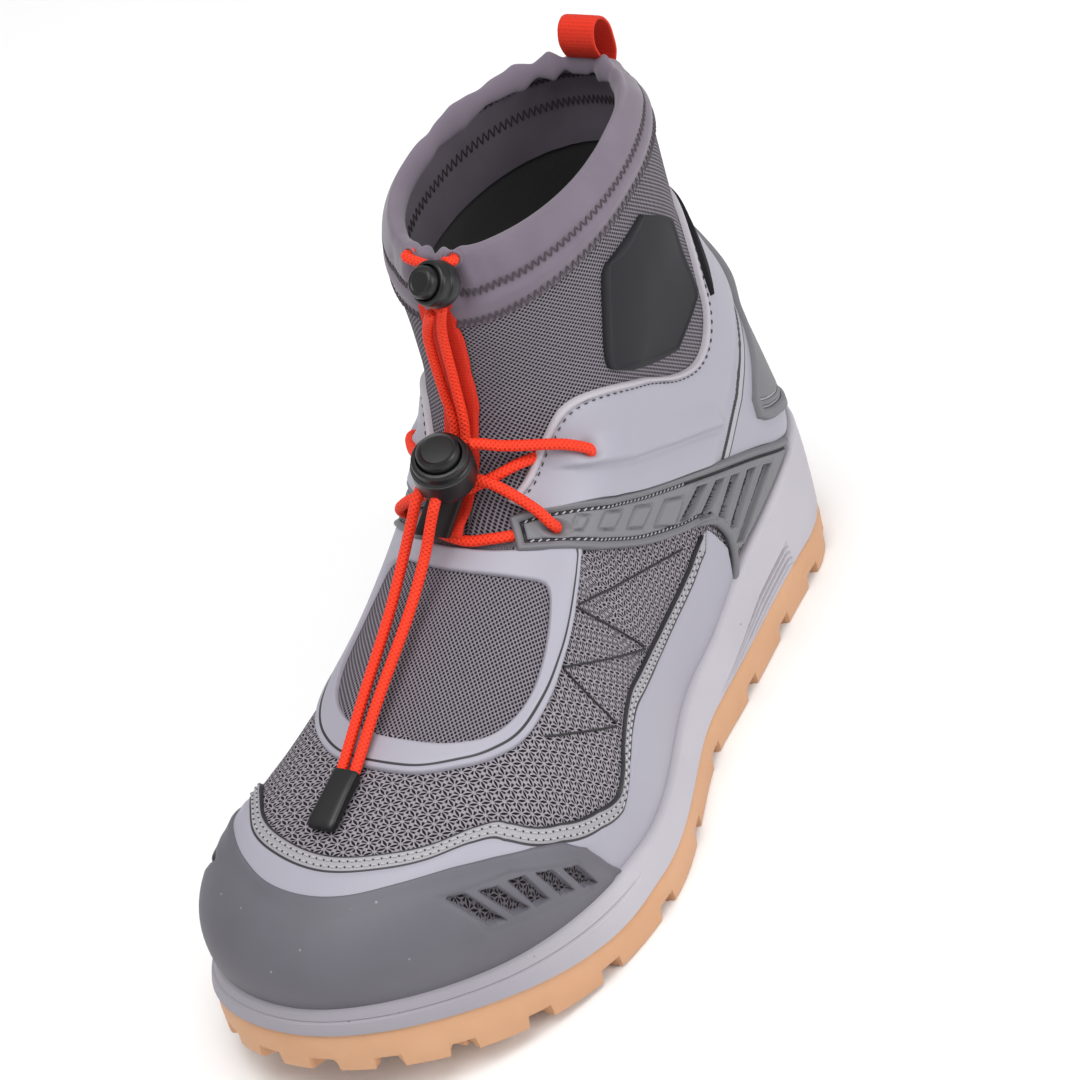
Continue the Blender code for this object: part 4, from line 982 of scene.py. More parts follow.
def make_side_panel():
    """The panel, and the lines along its upper edge where its strip is sewn."""
    aside = np.concatenate([
        -np.linspace(116, 60, 210), np.linspace(-59.7, 59.7, 240), np.linspace(60, 116, 210),
    ])
    turn = np.radians(180.0 + aside)
    lip = lip_level(turn)
    cap = np.maximum(level_where(turn, table_at(CAP_TOP, 1, np.abs(aside))), lip)
    low = np.where(np.abs(aside) < 65.5, cap - 0.06, lip - 0.04)
    rim = table_at(PANEL_RIM, 1, np.abs(aside)) - 8.0 * bell(aside - 80.0, 7.0)
    top = np.maximum(level_where(turn, rim), low + 0.2)
    turn, at = between((turn, low), (turn, top), 44)
    to_top, to_start, to_end = edge_distances(skin(turn, at))[1:]
    shown = np.abs(aside) < STRIP_END
    sewn = [line_at(turn[:, shown], at[:, shown], to_top[:, shown], reach) for reach in STRIP_SEAMS]
    to_top = to_top + np.interp(np.abs(aside), [STRIP_END, 112.0, 116.0], [0.0, 8.0, 24.0])
    edge = np.minimum.reduce([to_top, to_start, to_end])
    piping = 0.35 * np.sqrt(np.clip(1.0 - ((to_top - 0.45) / 0.45) ** 2, 0.0, 1.0))
    groove = 0.35 * bell(to_top - (STRIP_TO + LINE_TO) / 2.0, 0.5)
    height = 1.2 * rounded_end(edge, 0.5) + piping - groove + 0.25 * smooth_step((to_top - LINE_TO) / 2.0)
    return shell(turn, at, height, (to_start, to_top)), sewn


def map_axes(tree):
    """The two directions of the piece's map, in millimetres."""
    split = add(tree, "ShaderNodeSeparateXYZ", {0: add(tree, "ShaderNodeUVMap", uv_map="map")}).node
    return split.outputs[0], split.outputs[1]


def bands(tree, shader, axis, colours):
    """Colours a surface in bands along one of its map's directions: each colour starts at its distance."""
    at = map_axes(tree)[axis]
    colour = colours[0][1]
    for start, code in colours[1:]:
        step = ramp(tree, at, start - BAND_BLUR, start + BAND_BLUR)
        colour = mixed(tree, step, colour, code)
    paint(tree, shader, colour)


# Bonded film: a thin polyurethane sheet, pale blue-grey, smooth with a dull sheen.
FILM = "#9a98a3"
film, tree, shader = material("polyurethane film", 0.48, Specular_IOR_Level=0.4)
bands(tree, shader, MAP_Y, [
    (0.0, "#2b2a2e"), (STRIP_FROM, "#98969b"), (STRIP_TO, "#2f2e33"), (LINE_TO, FILM),
])

surfaces, rows = make_side_panel()
piece("side_panel_film", surfaces, film, "side_panel", sharp=60.0)
piece("side_panel_stitches", [stitch_row(*row, 1.1, 2.6, 1.9, 0.75) for row in rows], light_thread)
piece("side_panel_needle_holes", [stitch_row(*row, 1.12, 2.6, 0.5, 0.7, 1.3) for row in rows], dark_thread)

# Vamp frame: pale film in a loop around the mesh window, with a dark pinstripe along its outer edge. The
# stripe stops at the bar below the throat.


def along(rows, count, crowd=0.0):
    """Steps along a smooth curve through the rows of a table."""
    dense = through_rows(rows, np.linspace(0.0, len(rows) - 1.0, 900))
    length = run_length(dense)
    steps = crowded(count, crowd) * length[-1]
    return at_lengths(dense, length, steps)


def on_top(places):
    """Turn and level of places in plan (x, y) on the vamp."""
    x, y = np.asarray(places, float).T
    aside = y - middle_line(x)
    at = find_level(lambda at: half_width(x, level_values(at), aside > 0.0) < np.abs(aside), x.shape)
    return turn_at(x, at, aside > 0.0), at


def make_vamp_frame():
    edges = [on_top(along(edge + edge[:1], 361)) for edge in (FRAME_OUTLINE, FRAME_WINDOW)]
    share = crowded(19)[:, None]
    outline, window = (skin(*edge) for edge in edges)
    plan = outline[None] + (window - outline)[None] * share[..., None]
    turn, at = on_top(plan[..., :2].reshape(-1, 2))
    turn, at = turn.reshape(plan.shape[:2]), at.reshape(plan.shape[:2])
    base = skin(turn, at)
    to_out, to_in, around = edge_distances(base)[:3]
    bar = (base[..., 0] < 181.0) & (np.abs(base[..., 1]) < 27.5)
    stripe = np.where(bar, 9.0, to_out)
    height = 1.7 * rounded_end(np.minimum(to_out, to_in), 1.0) - 0.3 * bell(stripe - 2.6, 0.5)
    return shell(turn, at, height, (around, stripe), ring=True)


frame_film, tree, shader = material("polyurethane film with pinstripe", 0.48, Specular_IOR_Level=0.4)
bands(tree, shader, MAP_Y, [(0.0, FILM), (2.15, "#2b2a2e"), (3.05, FILM)])

piece("vamp_frame_film", make_vamp_frame(), frame_film, "vamp_frame", sharp=60.0)

# Ankle panels: padded film panels on both sides, each with a bound upper edge, an embossed strip, a sewn seam
# at the back and a hole for the lace.

PANEL_TOP = [
    (162, 120.8), (155, 126), (147, 134), (138, 141), (126, 139), (107, 129), (88, 116), (73, 109),
    (63, 110), (57, 118), (54, 130), (49, 142), (42, 150), (34, 152.5),
]
PANEL_LOW = [
    (161, 116.5), (144, 110.5), (120, 96.5), (94, 82.4), (75, 72.6), (52, 61), (40, 54.5), (29, 51),
    (20, 54), (17, 64), (17, 78), (18, 92), (20, 104), (21, 116), (22, 128), (26, 141),
]
PILL_LOW = np.array([(66, 79.5), (75, 84.5), (94, 94.5), (112.5, 104.5), (138, 118.5), (152, 125.5)])
PILL_TOP = np.array([(66, 93), (84, 102.5), (99.6, 110.7), (116, 120), (131.6, 128), (144, 132), (152, 134)])
REAR_FIELD = [
    (24, 110), (29.8, 103.4), (33.2, 100.7), (37.6, 97.9), (45, 92), (54.6, 83.8), (67.8, 77.2), (82, 71),
    (80, 45), (0, 45), (0, 110),
]
BINDING = 2.6
EYE_HIGH = (139.0, 126.0)


def side_grid(low, top, outer, rows, columns):
    edges = [on_side(along(edge, columns, 0.7), outer) for edge in (low, top)]
    return between(*edges, rows)


def make_ankle_panel(outer):
    """The panel, which of its faces are binding, and the line of the seam below the binding."""
    turn, at = side_grid(PANEL_LOW, PANEL_TOP, outer, 64, 300)
    base = skin(turn, at)
    to_low, to_top, to_start, to_end = edge_distances(base)
    places = base[..., [0, 2]]
    edge = np.minimum.reduce([to_low, to_start, to_end])
    bound = 1.7 * np.sqrt(np.clip(1.0 - ((to_top - 1.3) / 1.32) ** 2, 0.0, 1.0))
    padded = 1.4 + 1.7 * (1.0 - np.exp(-np.clip(to_top - BINDING, 0.0, 60.0) / 5.0))
    low, high = (np.interp(places[..., 0], *line.T) for line in (PILL_LOW, PILL_TOP))
    up = (places[..., 1] - low) / (high - low)
    ends = smooth_step((places[..., 0] - 67.0) / 8.0) * smooth_step((151.0 - places[..., 0]) / 7.0)
    padded = padded + ends * 2.4 * smooth_step(up / 0.2) * (1.0 - smooth_step((up - 0.2) / 0.85))
    padded = padded - ends * 0.35 * bell(up + 0.03, 0.05)
    rear = depth_in(places, REAR_FIELD)
    padded = padded + (1.3 - padded) * smooth_step((rear + 9.0) / 9.0) - 0.4 * bell(rear - 0.6, 0.6)
    dimple = bell(np.linalg.norm(places - EYE_HIGH, axis=-1), 2.4)
    height = np.where(to_top < BINDING, bound + 0.4, padded * rounded_end(edge, 1.6) - 2.0 * dimple)
    surfaces = shell(turn, at, height, (rear, to_top))
    bind = (to_top[:-1, :-1] < BINDING).ravel().astype(int).tolist()
    return surfaces, bind + [0] * len(surfaces[1][1]), line_at(turn, at, to_top, BINDING + 0.5)


panel_film, tree, shader = material("padded polyurethane film", 0.45, Specular_IOR_Level=0.4)
bands(tree, shader, MAP_X, [
    (-90.0, FILM), (0.0, "#1e1d20"), (1.7, "#a09ea5"), (4.0, "#2b2a2e"), (4.6, FILM),
])

# Binding: knitted tape folded over the edge, pale, with a fine grain of loops.
tape_knit, tree, shader = material("knitted binding tape", 0.8, "#b0abb2", Specular_IOR_Level=0.2)
bumped(tree, shader, cells(tree, 0.7), 0.35, 0.0003)

for side, outer in SIDES:
    surfaces, choose, seam = make_ankle_panel(outer)
    node = f"ankle_panel_{side}"
    piece(f"{node}_stitches", [stitch_row(*seam, 1.8, 3.0, 1.5, 0.45)], dark_thread)
    piece(f"{node}_film", surfaces, [panel_film, tape_knit], node, choose=choose, sharp=70.0)

# Back strip: black neoprene sewn on the ankle panels behind the binding, up the back. There is one on each
# side.

STRIP_EDGE = [(52.2, 120.5), (50.8, 129), (46, 140), (40, 147.3), (33.5, 149.6)]
STRIP_REAR = [(51, 120), (46, 128), (41.5, 137), (36.5, 142.5), (31.5, 145)]
neoprene = material("black neoprene", 0.85, "#19181b", Specular_IOR_Level=0.2)[0]
for side, outer in SIDES:
    turn, at = side_grid(STRIP_REAR, STRIP_EDGE, outer, 14, 80)
    edge = np.minimum.reduce(edge_distances(skin(turn, at)))
    piece(f"back_strip_{side}", shell(turn, at, 3.4 * rounded_end(edge, 0.8)), neoprene)

# Wings: moulded rubber arms on both sides, from the heel to the lower eyelet. Each has a rolled rim, a sewn
# groove inside it, four embossed slanted windows, and five slots that show the mesh.

WING_TOP = [(165, 117), (158, 117), (144, 111), (120, 97), (94, 83), (63, 67), (46, 58), (35, 52.5)]
WING_LOW = [
    (172, 109), (162, 104), (134, 84), (112, 72), (97, 65), (88, 57), (86, 45), (72, 43), (52, 46),
    (37, 50.5),
]
WING_WINDOWS = [
    [(159, 108.7), (154.3, 111.2), (151.6, 109.1), (156.6, 107.2)],
    [(152.3, 105), (146.3, 107.1), (138.2, 101.5), (146, 100.2)],
    [(139, 95), (131, 97.2), (122, 91), (131.4, 89.2)],
    [(125.3, 84.8), (115, 87.2), (104.4, 80.6), (115.6, 77.4)],
]
WING_SLOTS = [
    ((93.4, 76.4), (109, 75)), ((82.2, 70.3), (98.8, 68)), ((72.8, 65), (88.5, 60)),
    ((62.5, 59.7), (83.8, 52.5)), ((52.8, 54.3), (82, 45.5)),
]
WING_SLOT_SHARE = 0.52
WING_GROOVE = 3.3
SEWN_FROM = 99.0
EYE_LOW = (161.0, 110.5)
WING_FINGER = [(104, 68.5), (97, 65), (90.5, 60), (86.5, 51), (87, 42), (91, 34), (98, 30.5), (108, 27)]


def make_wing(outer):
    """The wing, which of its faces are mesh, and the lines of its two sewn grooves."""
    turn, at = side_grid(WING_LOW, WING_TOP, outer, 84, 320)
    base = skin(turn, at)
    to_low, to_top, to_start, to_end = edge_distances(base)
    places = base[..., [0, 2]]
    grooves = [
        line_at(turn, at, to_top, WING_GROOVE), line_at(turn[::-1], at[::-1], to_low[::-1], WING_GROOVE),
    ]
    sewn = [[line[skin(*groove)[:, 0] > SEWN_FROM][8:] for line in groove] for groove in grooves]
    to_low = to_low + 40.0 * smooth_step((93.0 - places[..., 0]) / 5.0)
    edge = np.minimum.reduce([to_low, to_top, to_start])
    groove = 0.9 * bell(edge - WING_GROOVE, 0.55)
    rim = 0.8 * bell(edge - 1.3, 1.1)
    height = 2.1 * rounded_end(np.minimum(edge, to_end), 1.0) + rim - groove
    for window in WING_WINDOWS:
        depth = depth_in(places, window)
        height = height - 0.75 * bell(depth, 0.45) + 0.5 * smooth_step(depth / 0.8)
    away = np.linalg.norm(places - EYE_LOW, axis=-1)
    height = height + 0.6 * bell(away - 3.4, 0.9) - 2.2 * bell(away, 1.9)
    slots = slot_depth(base, WING_SLOTS, WING_SLOT_SHARE, outer)
    height = height - 2.4 * smooth_step(slots / 0.6 + 0.5) + 0.5 * bell(slots + 0.8, 0.5)
    shown = slots > -0.2
    chart = tuple(np.where(shown, a, b) for a, b in zip(draped_map(turn, at), (to_start, edge)))
    surfaces = shell(turn, at, np.maximum(height, FLOOR_HEIGHT), chart)
    return surfaces, slot_faces(slots, surfaces), sewn


def make_finger(turn, at):
    """The rim's tapered end, which runs down over the edge of the side panel: half a lens across."""
    points = skin(turn, at)
    upright = skin_normal(turn, at)
    run = np.gradient(points, axis=0)
    aside = np.cross(unit(run), upright)
    share = np.linspace(0.0, 1.0, len(turn))
    ends = np.clip((1.0 - share) / 0.04, 0.0, 1.0) * np.clip(share / 0.3, 0.0, 1.0)
    half = (2.2 - 1.3 * share) * np.sqrt(ends)
    angle = np.linspace(0.0, TURN, 21)
    across = aside[:, None] * (np.cos(angle) * half[:, None])[..., None]
    foot = 0.5 + 1.1 * np.clip(share / 0.3, 0.0, 1.0)
    dome = (1.7 - 0.7 * share) * np.minimum(1.0, half / 0.9)
    lift = upright[:, None] * (foot[:, None] + np.sin(angle) * dome[:, None])[..., None]
    return [surface(points[:, None] + across + lift)]


wing_rubber, tree, shader = material("moulded grey rubber, sewn", 0.55, Specular_IOR_Level=0.4)
bands(tree, shader, MAP_Y, [(0.0, "#6b6b6f"), (2.75, "#252427"), (3.85, "#717175")])
bumped(tree, shader, noise(tree, 0.5, 2.0), 0.12, 0.0001)

for side, outer in SIDES:
    surfaces, choose, sewn = make_wing(outer)
    node = f"wing_{side}"
    light = [stitch_row(*groove, 1.45, 2.4, 1.5, 0.6, 0.0, 0.4) for groove in sewn]
    dark = [stitch_row(*groove, 1.4, 2.4, 1.5, 0.7, 1.2, 0.4) for groove in sewn]
    piece(f"{node}_stitches", light, light_thread)
    piece(f"{node}_twists", dark, dark_thread)
    piece(f"{node}_finger", make_finger(*on_side(along(WING_FINGER, 120), outer)), wing_rubber)
    # The slot floors take the air mesh painted darker: painted shade.
    finishes = [wing_rubber, painted_shade_air]
    piece(f"{node}_rubber", surfaces, finishes, node, choose=choose, sharp=70.0)

# Heel counter: moulded rubber bonded up the back of the heel, with a rolled rim and a sunk, bare field. It
# lies over the ends of the ankle panels.

COUNTER_BAND = np.array([
    # degrees from the heel, low z, top z
    (0, 50, 138), (9, 50, 136), (18, 50.5, 125), (26, 53, 111), (31, 56, 102), (35, 59, 94.5), (39, 62, 87),
    (42, 65, 82), (45, 69, 76.5),
])


def make_heel_counter():
    aside = np.linspace(-45.0, 45.0, 201)
    turn = np.radians(aside)
    low, top = (level_where(turn, table_at(COUNTER_BAND, place, np.abs(aside))) for place in (1, 2))
    turn, at = between((turn, low), (turn, top), 80)
    base = skin(turn, at)
    to_low, to_top, to_start, to_end = edge_distances(base)
    edge = np.minimum.reduce([to_low, to_top, to_start, to_end])
    lifted = 1.9 + 1.9 * smooth_step((base[..., 2] - 97.0) / 12.0)
    rolled = smooth_step(edge / 1.5) - smooth_step(edge - 4.2)
    height = lifted * rounded_end(edge, 1.2) + rolled
    sunk = np.where(edge > 3.6, to_low, 40.0)
    height = height - 0.8 * bell(sunk - 5.4, 0.6) - 0.8 * bell(sunk - 8.4, 0.6)
    return shell(turn, at, height, (to_start, sunk))


# The two grooves in the field are painted near-black: painted shade.
counter_rubber, tree, shader = material("moulded grey rubber, painted shade in grooves", 0.55, Specular_IOR_Level=0.4)
bands(tree, shader, MAP_Y, [
    (0.0, "#6b6b6f"), (4.9, "#2b2a2d"), (5.9, "#6b6b6f"), (7.9, "#2b2a2d"), (8.9, "#6b6b6f"),
])

piece("heel_counter_rubber", make_heel_counter(), counter_rubber, "heel_counter", sharp=60.0)

# Badge: a six-sided charcoal rubber patch bonded to the neck on the outer side, with a bevelled border and a
# bare field.

BADGE_FRONT = [(119, 141), (121, 147), (116, 173), (111, 177)]
BADGE_BACK = [(80, 120), (63, 125), (58, 130), (66, 158), (71, 165), (90, 179)]


def make_badge():
    turn, at = side_grid(BADGE_BACK, BADGE_FRONT, True, 60, 70)
    edge = np.minimum.reduce(edge_distances(skin(turn, at)))
    height = 1.6 * rounded_end(edge, 1.0) - 0.4 * smooth_step((edge - 2.2) / 0.8)
    return shell(turn, at, height)


charcoal = material("charcoal rubber", 0.7, "#242428", Specular_IOR_Level=0.2)[0]
piece("badge_rubber", make_badge(), charcoal, "badge", sharp=60.0)

# Throat tape and pull loop: red woven webbing. The tape runs down the front of the neck, and the loop is sewn
# up the back of the cuff and stands free above it.

TAPE_WIDTH = 12.5
PULL_LOOP_TAIL = [
    # level, standoff
    (10.65, 0.7), (11.1, 0.7), (11.55, 0.9), (12.0, 1.8), (12.5, 2.2),
]
PULL_LOOP_FREE = [
    (32.5, 1, 200), (33.2, 1.5, 205.5), (34.7, 2, 210.6), (37.5, 2, 214.8), (41.2, 2, 216.6),
    (44.6, 2, 215), (46, 2, 210.6), (44.6, 2, 206), (41.6, 1.5, 202.6), (38.4, 1, 200), (36.5, 1, 197.5),
]


def front_turn(at, y):
    """The turn at which the front of a level's loop passes y."""
    level = level_values(at)
    back = level["round_front"] * (1.0 - np.sqrt(1.0 - (y / level["ball_outer"]) ** 2))
    return turn_at(level["x_front"] - back, at, y > 0.0)


def make_throat_tape():
    at = np.repeat(np.linspace(12.75, 8.05, 150)[:, None], 17, axis=1)
    middle = np.interp(at, [8.1, 12.9], [-5.5, -1.5])
    wave = 0.3 * np.sin(at * 5.0) + 0.1 * np.sin(at * 13.0)
    aside = np.linspace(-TAPE_WIDTH / 2.0, TAPE_WIDTH / 2.0, 17) + wave
    turn = front_turn(at, middle + aside)
    gap = 0.7 + 3.6 * smooth_step((8.6 - at) / 0.4)
    return shell(turn, at, gap + 1.2, (edge_distances(skin(turn, at))[0], aside), foot=gap)


def squared(wave, power):
    """A wave with its rounds filled out towards a square."""
    return np.sign(wave) * np.abs(wave) ** power


def ribbon(path, width, thickness, corner=0.35):
    """Flat webbing along a path, with its width across the shoe and rounded edges."""
    path = np.asarray(path, float)
    tangent = unit(np.gradient(path[:, [0, 2]], axis=0))
    aside = np.column_stack([-tangent[:, 1], 0.0 * tangent[:, 0], tangent[:, 0]])
    angle = np.linspace(0.0, TURN, 41)
    across = squared(np.cos(angle), corner) * width / 2.0
    lift = squared(np.sin(angle), corner) * thickness / 2.0
    points = path[:, None] + aside[:, None] * lift[:, None] + np.array([0.0, 1.0, 0.0]) * across[:, None]
    length = run_length(path)
    chart = (np.repeat(length[:, None], 41, axis=1), np.repeat(across[None], len(path), axis=0))
    return closed(points, chart)


# Webbing: red polyester woven in cells 1.1 mm long and 0.7 mm wide, with about five fine ribs across each.
webbing, tree, shader = material("woven red webbing", 0.7, Specular_IOR_Level=0.25)
weave = lattice(tree, 1.1, 0.7)
ribs = add(tree, "ShaderNodeTexWave", {"Vector": weave, "Scale": 5.0 / math.pi}, 1)
ends = knots(tree, weave, randomness=0.2)
# Each cell is painted lighter in its middle and darker towards its edges, where the weave dips: painted
# highlight and painted shade.
paint(tree, shader, mixed(tree, ends, "#ea3a22", "#b51f10"))
bumped(tree, shader, maths(tree, "SUBTRACT", ribs, ends), 0.5, 0.0004)

piece("throat_tape_webbing", make_throat_tape(), webbing, "throat_tape", sharp=60.0)
sewn = offset_skin(0.0, *np.array(PULL_LOOP_TAIL).T)
path = along(np.concatenate([sewn, PULL_LOOP_FREE]), 121)
piece("pull_loop_webbing", ribbon(path, TAPE_WIDTH, 1.3), webbing, "pull_loop")

# Lace: a round braided cord. A bar lies across the throat, two arms cross over it from eyelet to eyelet, two
# reins run from the lock to the upper eyelets, and the two ends hang from the lock to a clip.

LACE_RADIUS = 1.75
CUFF_CORD_RADIUS = 1.6
CORD_STEPS = 90
TAIL_STEPS = 160
LACE_BAR = [
    # turn in degrees, level, standoff
    (156.5, 8.05, -1.0), (159, 8.05, -0.2), (161.5, 8.06, 0.9), (164.5, 8.06, 1.8), (169, 8.06, 2.2),
    (177, 8.04, 2.3), (185, 8.06, 2.3), (192, 8.08, 2.2), (198, 8.1, 1.8), (203, 8.12, 1.0),
    (206, 8.12, 0.2),
]
LACE_OVER = [
    (160, 23.0, 109.5), (161.5, 25.5, 112), (163.5, 25.0, 115.5), (164, 22, 120), (164.4, 16, 125),
    (165, 9, 129.5), (165.5, 2, 131.5), (165, -5, 132), (162, -11, 132.8), (156.5, -15.8, 132.8),
    (150, -19.2, 131), (146, -20, 129.5),
]
LACE_UNDER = [
    (146, 19, 128), (150.5, 17.6, 129.6), (156.5, 14, 130.8), (162, 7.8, 129.2), (165.6, 0.5, 126.8),
    (167, -6, 126), (167.3, -13, 124.5), (166.3, -20, 121), (164.8, -26, 116.2), (163.5, -27.5, 113),
    (161.5, -26, 110.5),
]
LACE_REIN_OUTER = [
    # turn in degrees, level, standoff
    (176.5, 9.72, 11.0), (173.2, 9.7, 9.3), (165.5, 9.58, 6.4), (156.5, 9.48, 5.6), (144, 9.27, 5.8),
    (134.5, 8.95, 5.6), (131.9, 8.8, 4.2), (131.2, 8.74, 1.8), (131, 8.72, -1.0),
]
LACE_REIN_INNER = [
    (192.5, 9.55, 8.0), (198, 9.25, 6.0), (206, 9.0, 4.8), (216, 8.86, 4.6), (224.5, 8.78, 4.6),
    (228.1, 8.75, 3.8), (228.8, 8.73, 1.6), (229, 8.72, -1.0),
]
LACE_TAIL_OUTER = [
    (176, -1.5, 136), (180.5, -2.5, 131.5), (182.5, -4.4, 125.5), (187, -7.2, 115), (200, -9.2, 103.4),
    (225, -10.2, 91.2), (245.6, -10.1, 81.2), (250, -10.6, 79.6),
]
LACE_TAIL_INNER = [
    (174, -8, 136), (178.8, -9.8, 131), (181, -11.8, 125), (186, -15, 114.4), (200, -16.3, 102.4),
    (225, -15.7, 90.6), (245.6, -14.8, 80.9), (250, -14.6, 79.4),
]
CUFF_CORD_OUTER = [
    (160.5, 6, 191.5), (157, 1, 179.6), (154.5, -1.4, 158.4), (156.3, -0.8, 144), (159.6, -1.2, 134.8),
]
CUFF_CORD_INNER = [
    (160.5, 1.5, 189.5), (157, -4.4, 177.3), (154.3, -6.3, 156), (155.9, -4.6, 144), (159.2, -5, 134.6),
]


def cord(route, radius, count=CORD_STEPS):
    """A round cord along a smooth curve through its route; its ends close on a point."""
    path = along(route, count)
    tangent = unit(np.gradient(path, axis=0))
    first = unit(np.cross(tangent, (0.0, 0.3, 1.0)))
    second = np.cross(tangent, first)
    angle = np.linspace(0.0, TURN, 17)
    round_end = np.ones(count)
    round_end[[0, -1]] = 0.0
    round_end[[1, -2]] = 0.75
    around = circle(first[:, None], second[:, None], angle)
    points = path[:, None] + around * (radius * round_end)[:, None, None]
    length = run_length(path)
    chart = (np.repeat(length[:, None], 17, axis=1), np.repeat(angle[None] / TURN, count, axis=0))
    return [surface(points, chart)]


def off_skin(rows):
    """Places of a route given as turns in degrees, levels and standoffs."""
    turn, at, standoff = np.array(rows, float).T
    return offset_skin(np.radians(turn), at, standoff)


# Braid: polyester strands cross each other in slanted ridges, 1.5 mm from crossing to crossing.
braid, tree, shader = material("braided red cord", 0.62, Specular_IOR_Level=0.3)
map_x, map_y = map_axes(tree)
strands = []
for hand in (1.0, -1.0):
    slant = maths(tree, "MULTIPLY_ADD", map_x, 1.0 / 1.5, maths(tree, "MULTIPLY", map_y, 5.0 * hand))
    strands.append(maths(tree, "SINE", maths(tree, "MULTIPLY", slant, TURN)))
ridge = ramp(tree, maths(tree, "MAXIMUM", *strands), -0.6, 1.0)
# The ridges are painted lighter and the hollows between the strands darker: painted highlight and painted
# shade.
paint(tree, shader, mixed(tree, ridge, "#cf2a12", "#f73c1c"))
bumped(tree, shader, ridge, 0.6, 0.0005)

piece("lace_bar_cord", cord(off_skin(LACE_BAR), LACE_RADIUS, 60), braid, "lace_bar")
arms = cord(LACE_OVER, LACE_RADIUS) + cord(LACE_UNDER, LACE_RADIUS)
piece("lace_cross_cord", arms, braid, "lace_cross")
for side, route in (("outer", LACE_REIN_OUTER), ("inner", LACE_REIN_INNER)):
    rein = cord(off_skin(route), LACE_RADIUS)
    piece(f"lace_rein_{side}_cord", rein, braid, f"lace_rein_{side}")

# End clip: a black sleeve that holds the two ends of the lace. It is moulded flat and lies on the mesh in
# front of the vamp frame.

CLIP_TOP = np.array([246.8, -12.4, 80.4])
CLIP_LOW = np.array([266.3, -13.4, 74.9])


def make_end_clip():
    """Rounded oblong sections that widen a little towards the end, with the last ones drawn in."""
    run = CLIP_LOW - CLIP_TOP
    length = np.linalg.norm(run)
    run = run / length
    wide = unit(np.cross(run, (0.0, 0.0, 1.0)))
    rise = np.cross(wide, run)
    angle = np.linspace(0.0, TURN, 49)
    across, lift = (squared(wave, 0.4) for wave in (np.cos(angle), np.sin(angle)))
    sections = [
        (0.0, 3.7, 1.6), (0.25, 4.2, 2.1), (1.6, 4.3, 2.3), (8.0, 4.3, 2.2), (length - 3.0, 4.7, 2.0),
        (length - 0.8, 4.6, 1.8), (length, 4.2, 1.3),
    ]
    loops = []
    for reach, half, thick in sections:
        section = wide * (across * half)[:, None] + rise * (lift * thick)[:, None]
        loops.append(CLIP_TOP + run * reach + section)
    return closed(np.array(loops))


# Black acetal and rubber: near black, softly shiny.
black, tree, shader = material("black acetal", 0.36, "#121214", Specular_IOR_Level=0.4)
bumped(tree, shader, noise(tree, 0.6, 2.0), 0.15, 0.0001)

clip = piece("end_clip_sleeve", make_end_clip(), black, "end_clip")
for side, route, far_end, held in (
    ("outer", LACE_TAIL_OUTER, "fitting", [clip]),
    ("inner", LACE_TAIL_INNER, "bare", []),
):
    sheath = cord(route, LACE_RADIUS, TAIL_STEPS)
    tail = piece(f"lace_tail_{side}_cord", sheath, braid, f"lace_tail_{side}")
    path = in_frame(along(route, TAIL_STEPS))

# Cord locks: turned black plastic barrels with a sprung button each. A keeper tab lies under the lace lock.

TAB_PATH = [(177.4, -8.8, 116.6), (174.8, -7, 121), (171.8, -5.2, 125.5), (169.4, -3.8, 129.6)]
TAB_WIDTH = 12.0
TAB_THICKNESS = 1.6
LACE_LOCK = {
    "at": (171.2, -2.0, 138.6), "axis": (0.28, 0.14, 0.95), "height": 14.5, "depth": 8.0,
    "body": 9.8, "ring": 8.8, "bore": 7.1, "button": 6.7,
}
CUFF_LOCK = {
    "at": (159.6, 5.8, 199.4), "axis": (0.745, -0.26, 0.615), "height": 9.4, "depth": 6.4,
    "body": 7.2, "ring": 6.8, "bore": 5.4, "button": 5.0,
}


def turned(profile, at, axis):
    """A profile of radii and heights turned around an axis."""
    profile = np.asarray(profile, float)
    axis = unit(np.asarray(axis, float))
    first = unit(np.cross(axis, (0.0, 1.0, 0.0)))
    second = np.cross(axis, first)
    angle = np.linspace(0.0, TURN, 65)
    around = circle(first, second, angle)
    radii, heights = profile.T[..., None, None]
    return [surface(np.asarray(at, float) + around[None] * radii + axis * heights)]


def make_lock(name, lock, button_body):
    """A barrel with a bore in its top, and a button that stands out of the bore."""
    half = lock["height"] / 2.0
    floor = half - lock["depth"]
    body, ring, bore, button = (lock[part] for part in ("body", "ring", "bore", "button"))
    outline = [
        (body * 0.55, -half), (body * 0.72, -half + 0.2), (body * 0.9, -half + 1.4),
        (body * 0.98, -half + 3.2), (body, -half + 4.8), (body, half - 4.4),
        (body - 0.35, half - 3.9), (body - 0.5, half - 3.3),
        (ring + 0.1, half - 2.9), (ring + 0.15, half - 1.2), (ring - 0.15, half - 0.35), (ring - 0.7, half),
    ]
    outline = [(0.0, -half)] + along(outline, 60).tolist()
    outline += [(bore + 0.25, half), (bore, half - 0.3), (bore, floor), (0.0, floor)]
    barrel = turned(outline, lock["at"], lock["axis"])
    piece(f"{name}_barrel_turned", barrel, black, f"{name}_barrel", sharp=40.0)
    rise = half + 3.2
    cap = [
        (0.0, floor + 3.8), (button, floor + 3.8), (button, rise - 1.2), (button - 0.3, rise - 0.5),
        (button - 0.9, rise), (button - 1.5, rise - 0.1), (button - 1.9, rise - 0.4),
        (button * 0.5, rise - 0.3), (0.0, rise - 0.2),
    ]
    cap = turned(cap, lock["at"], lock["axis"])
    piece(f"{name}_button_turned", cap, black, f"{name}_button", button_body, 40.0)


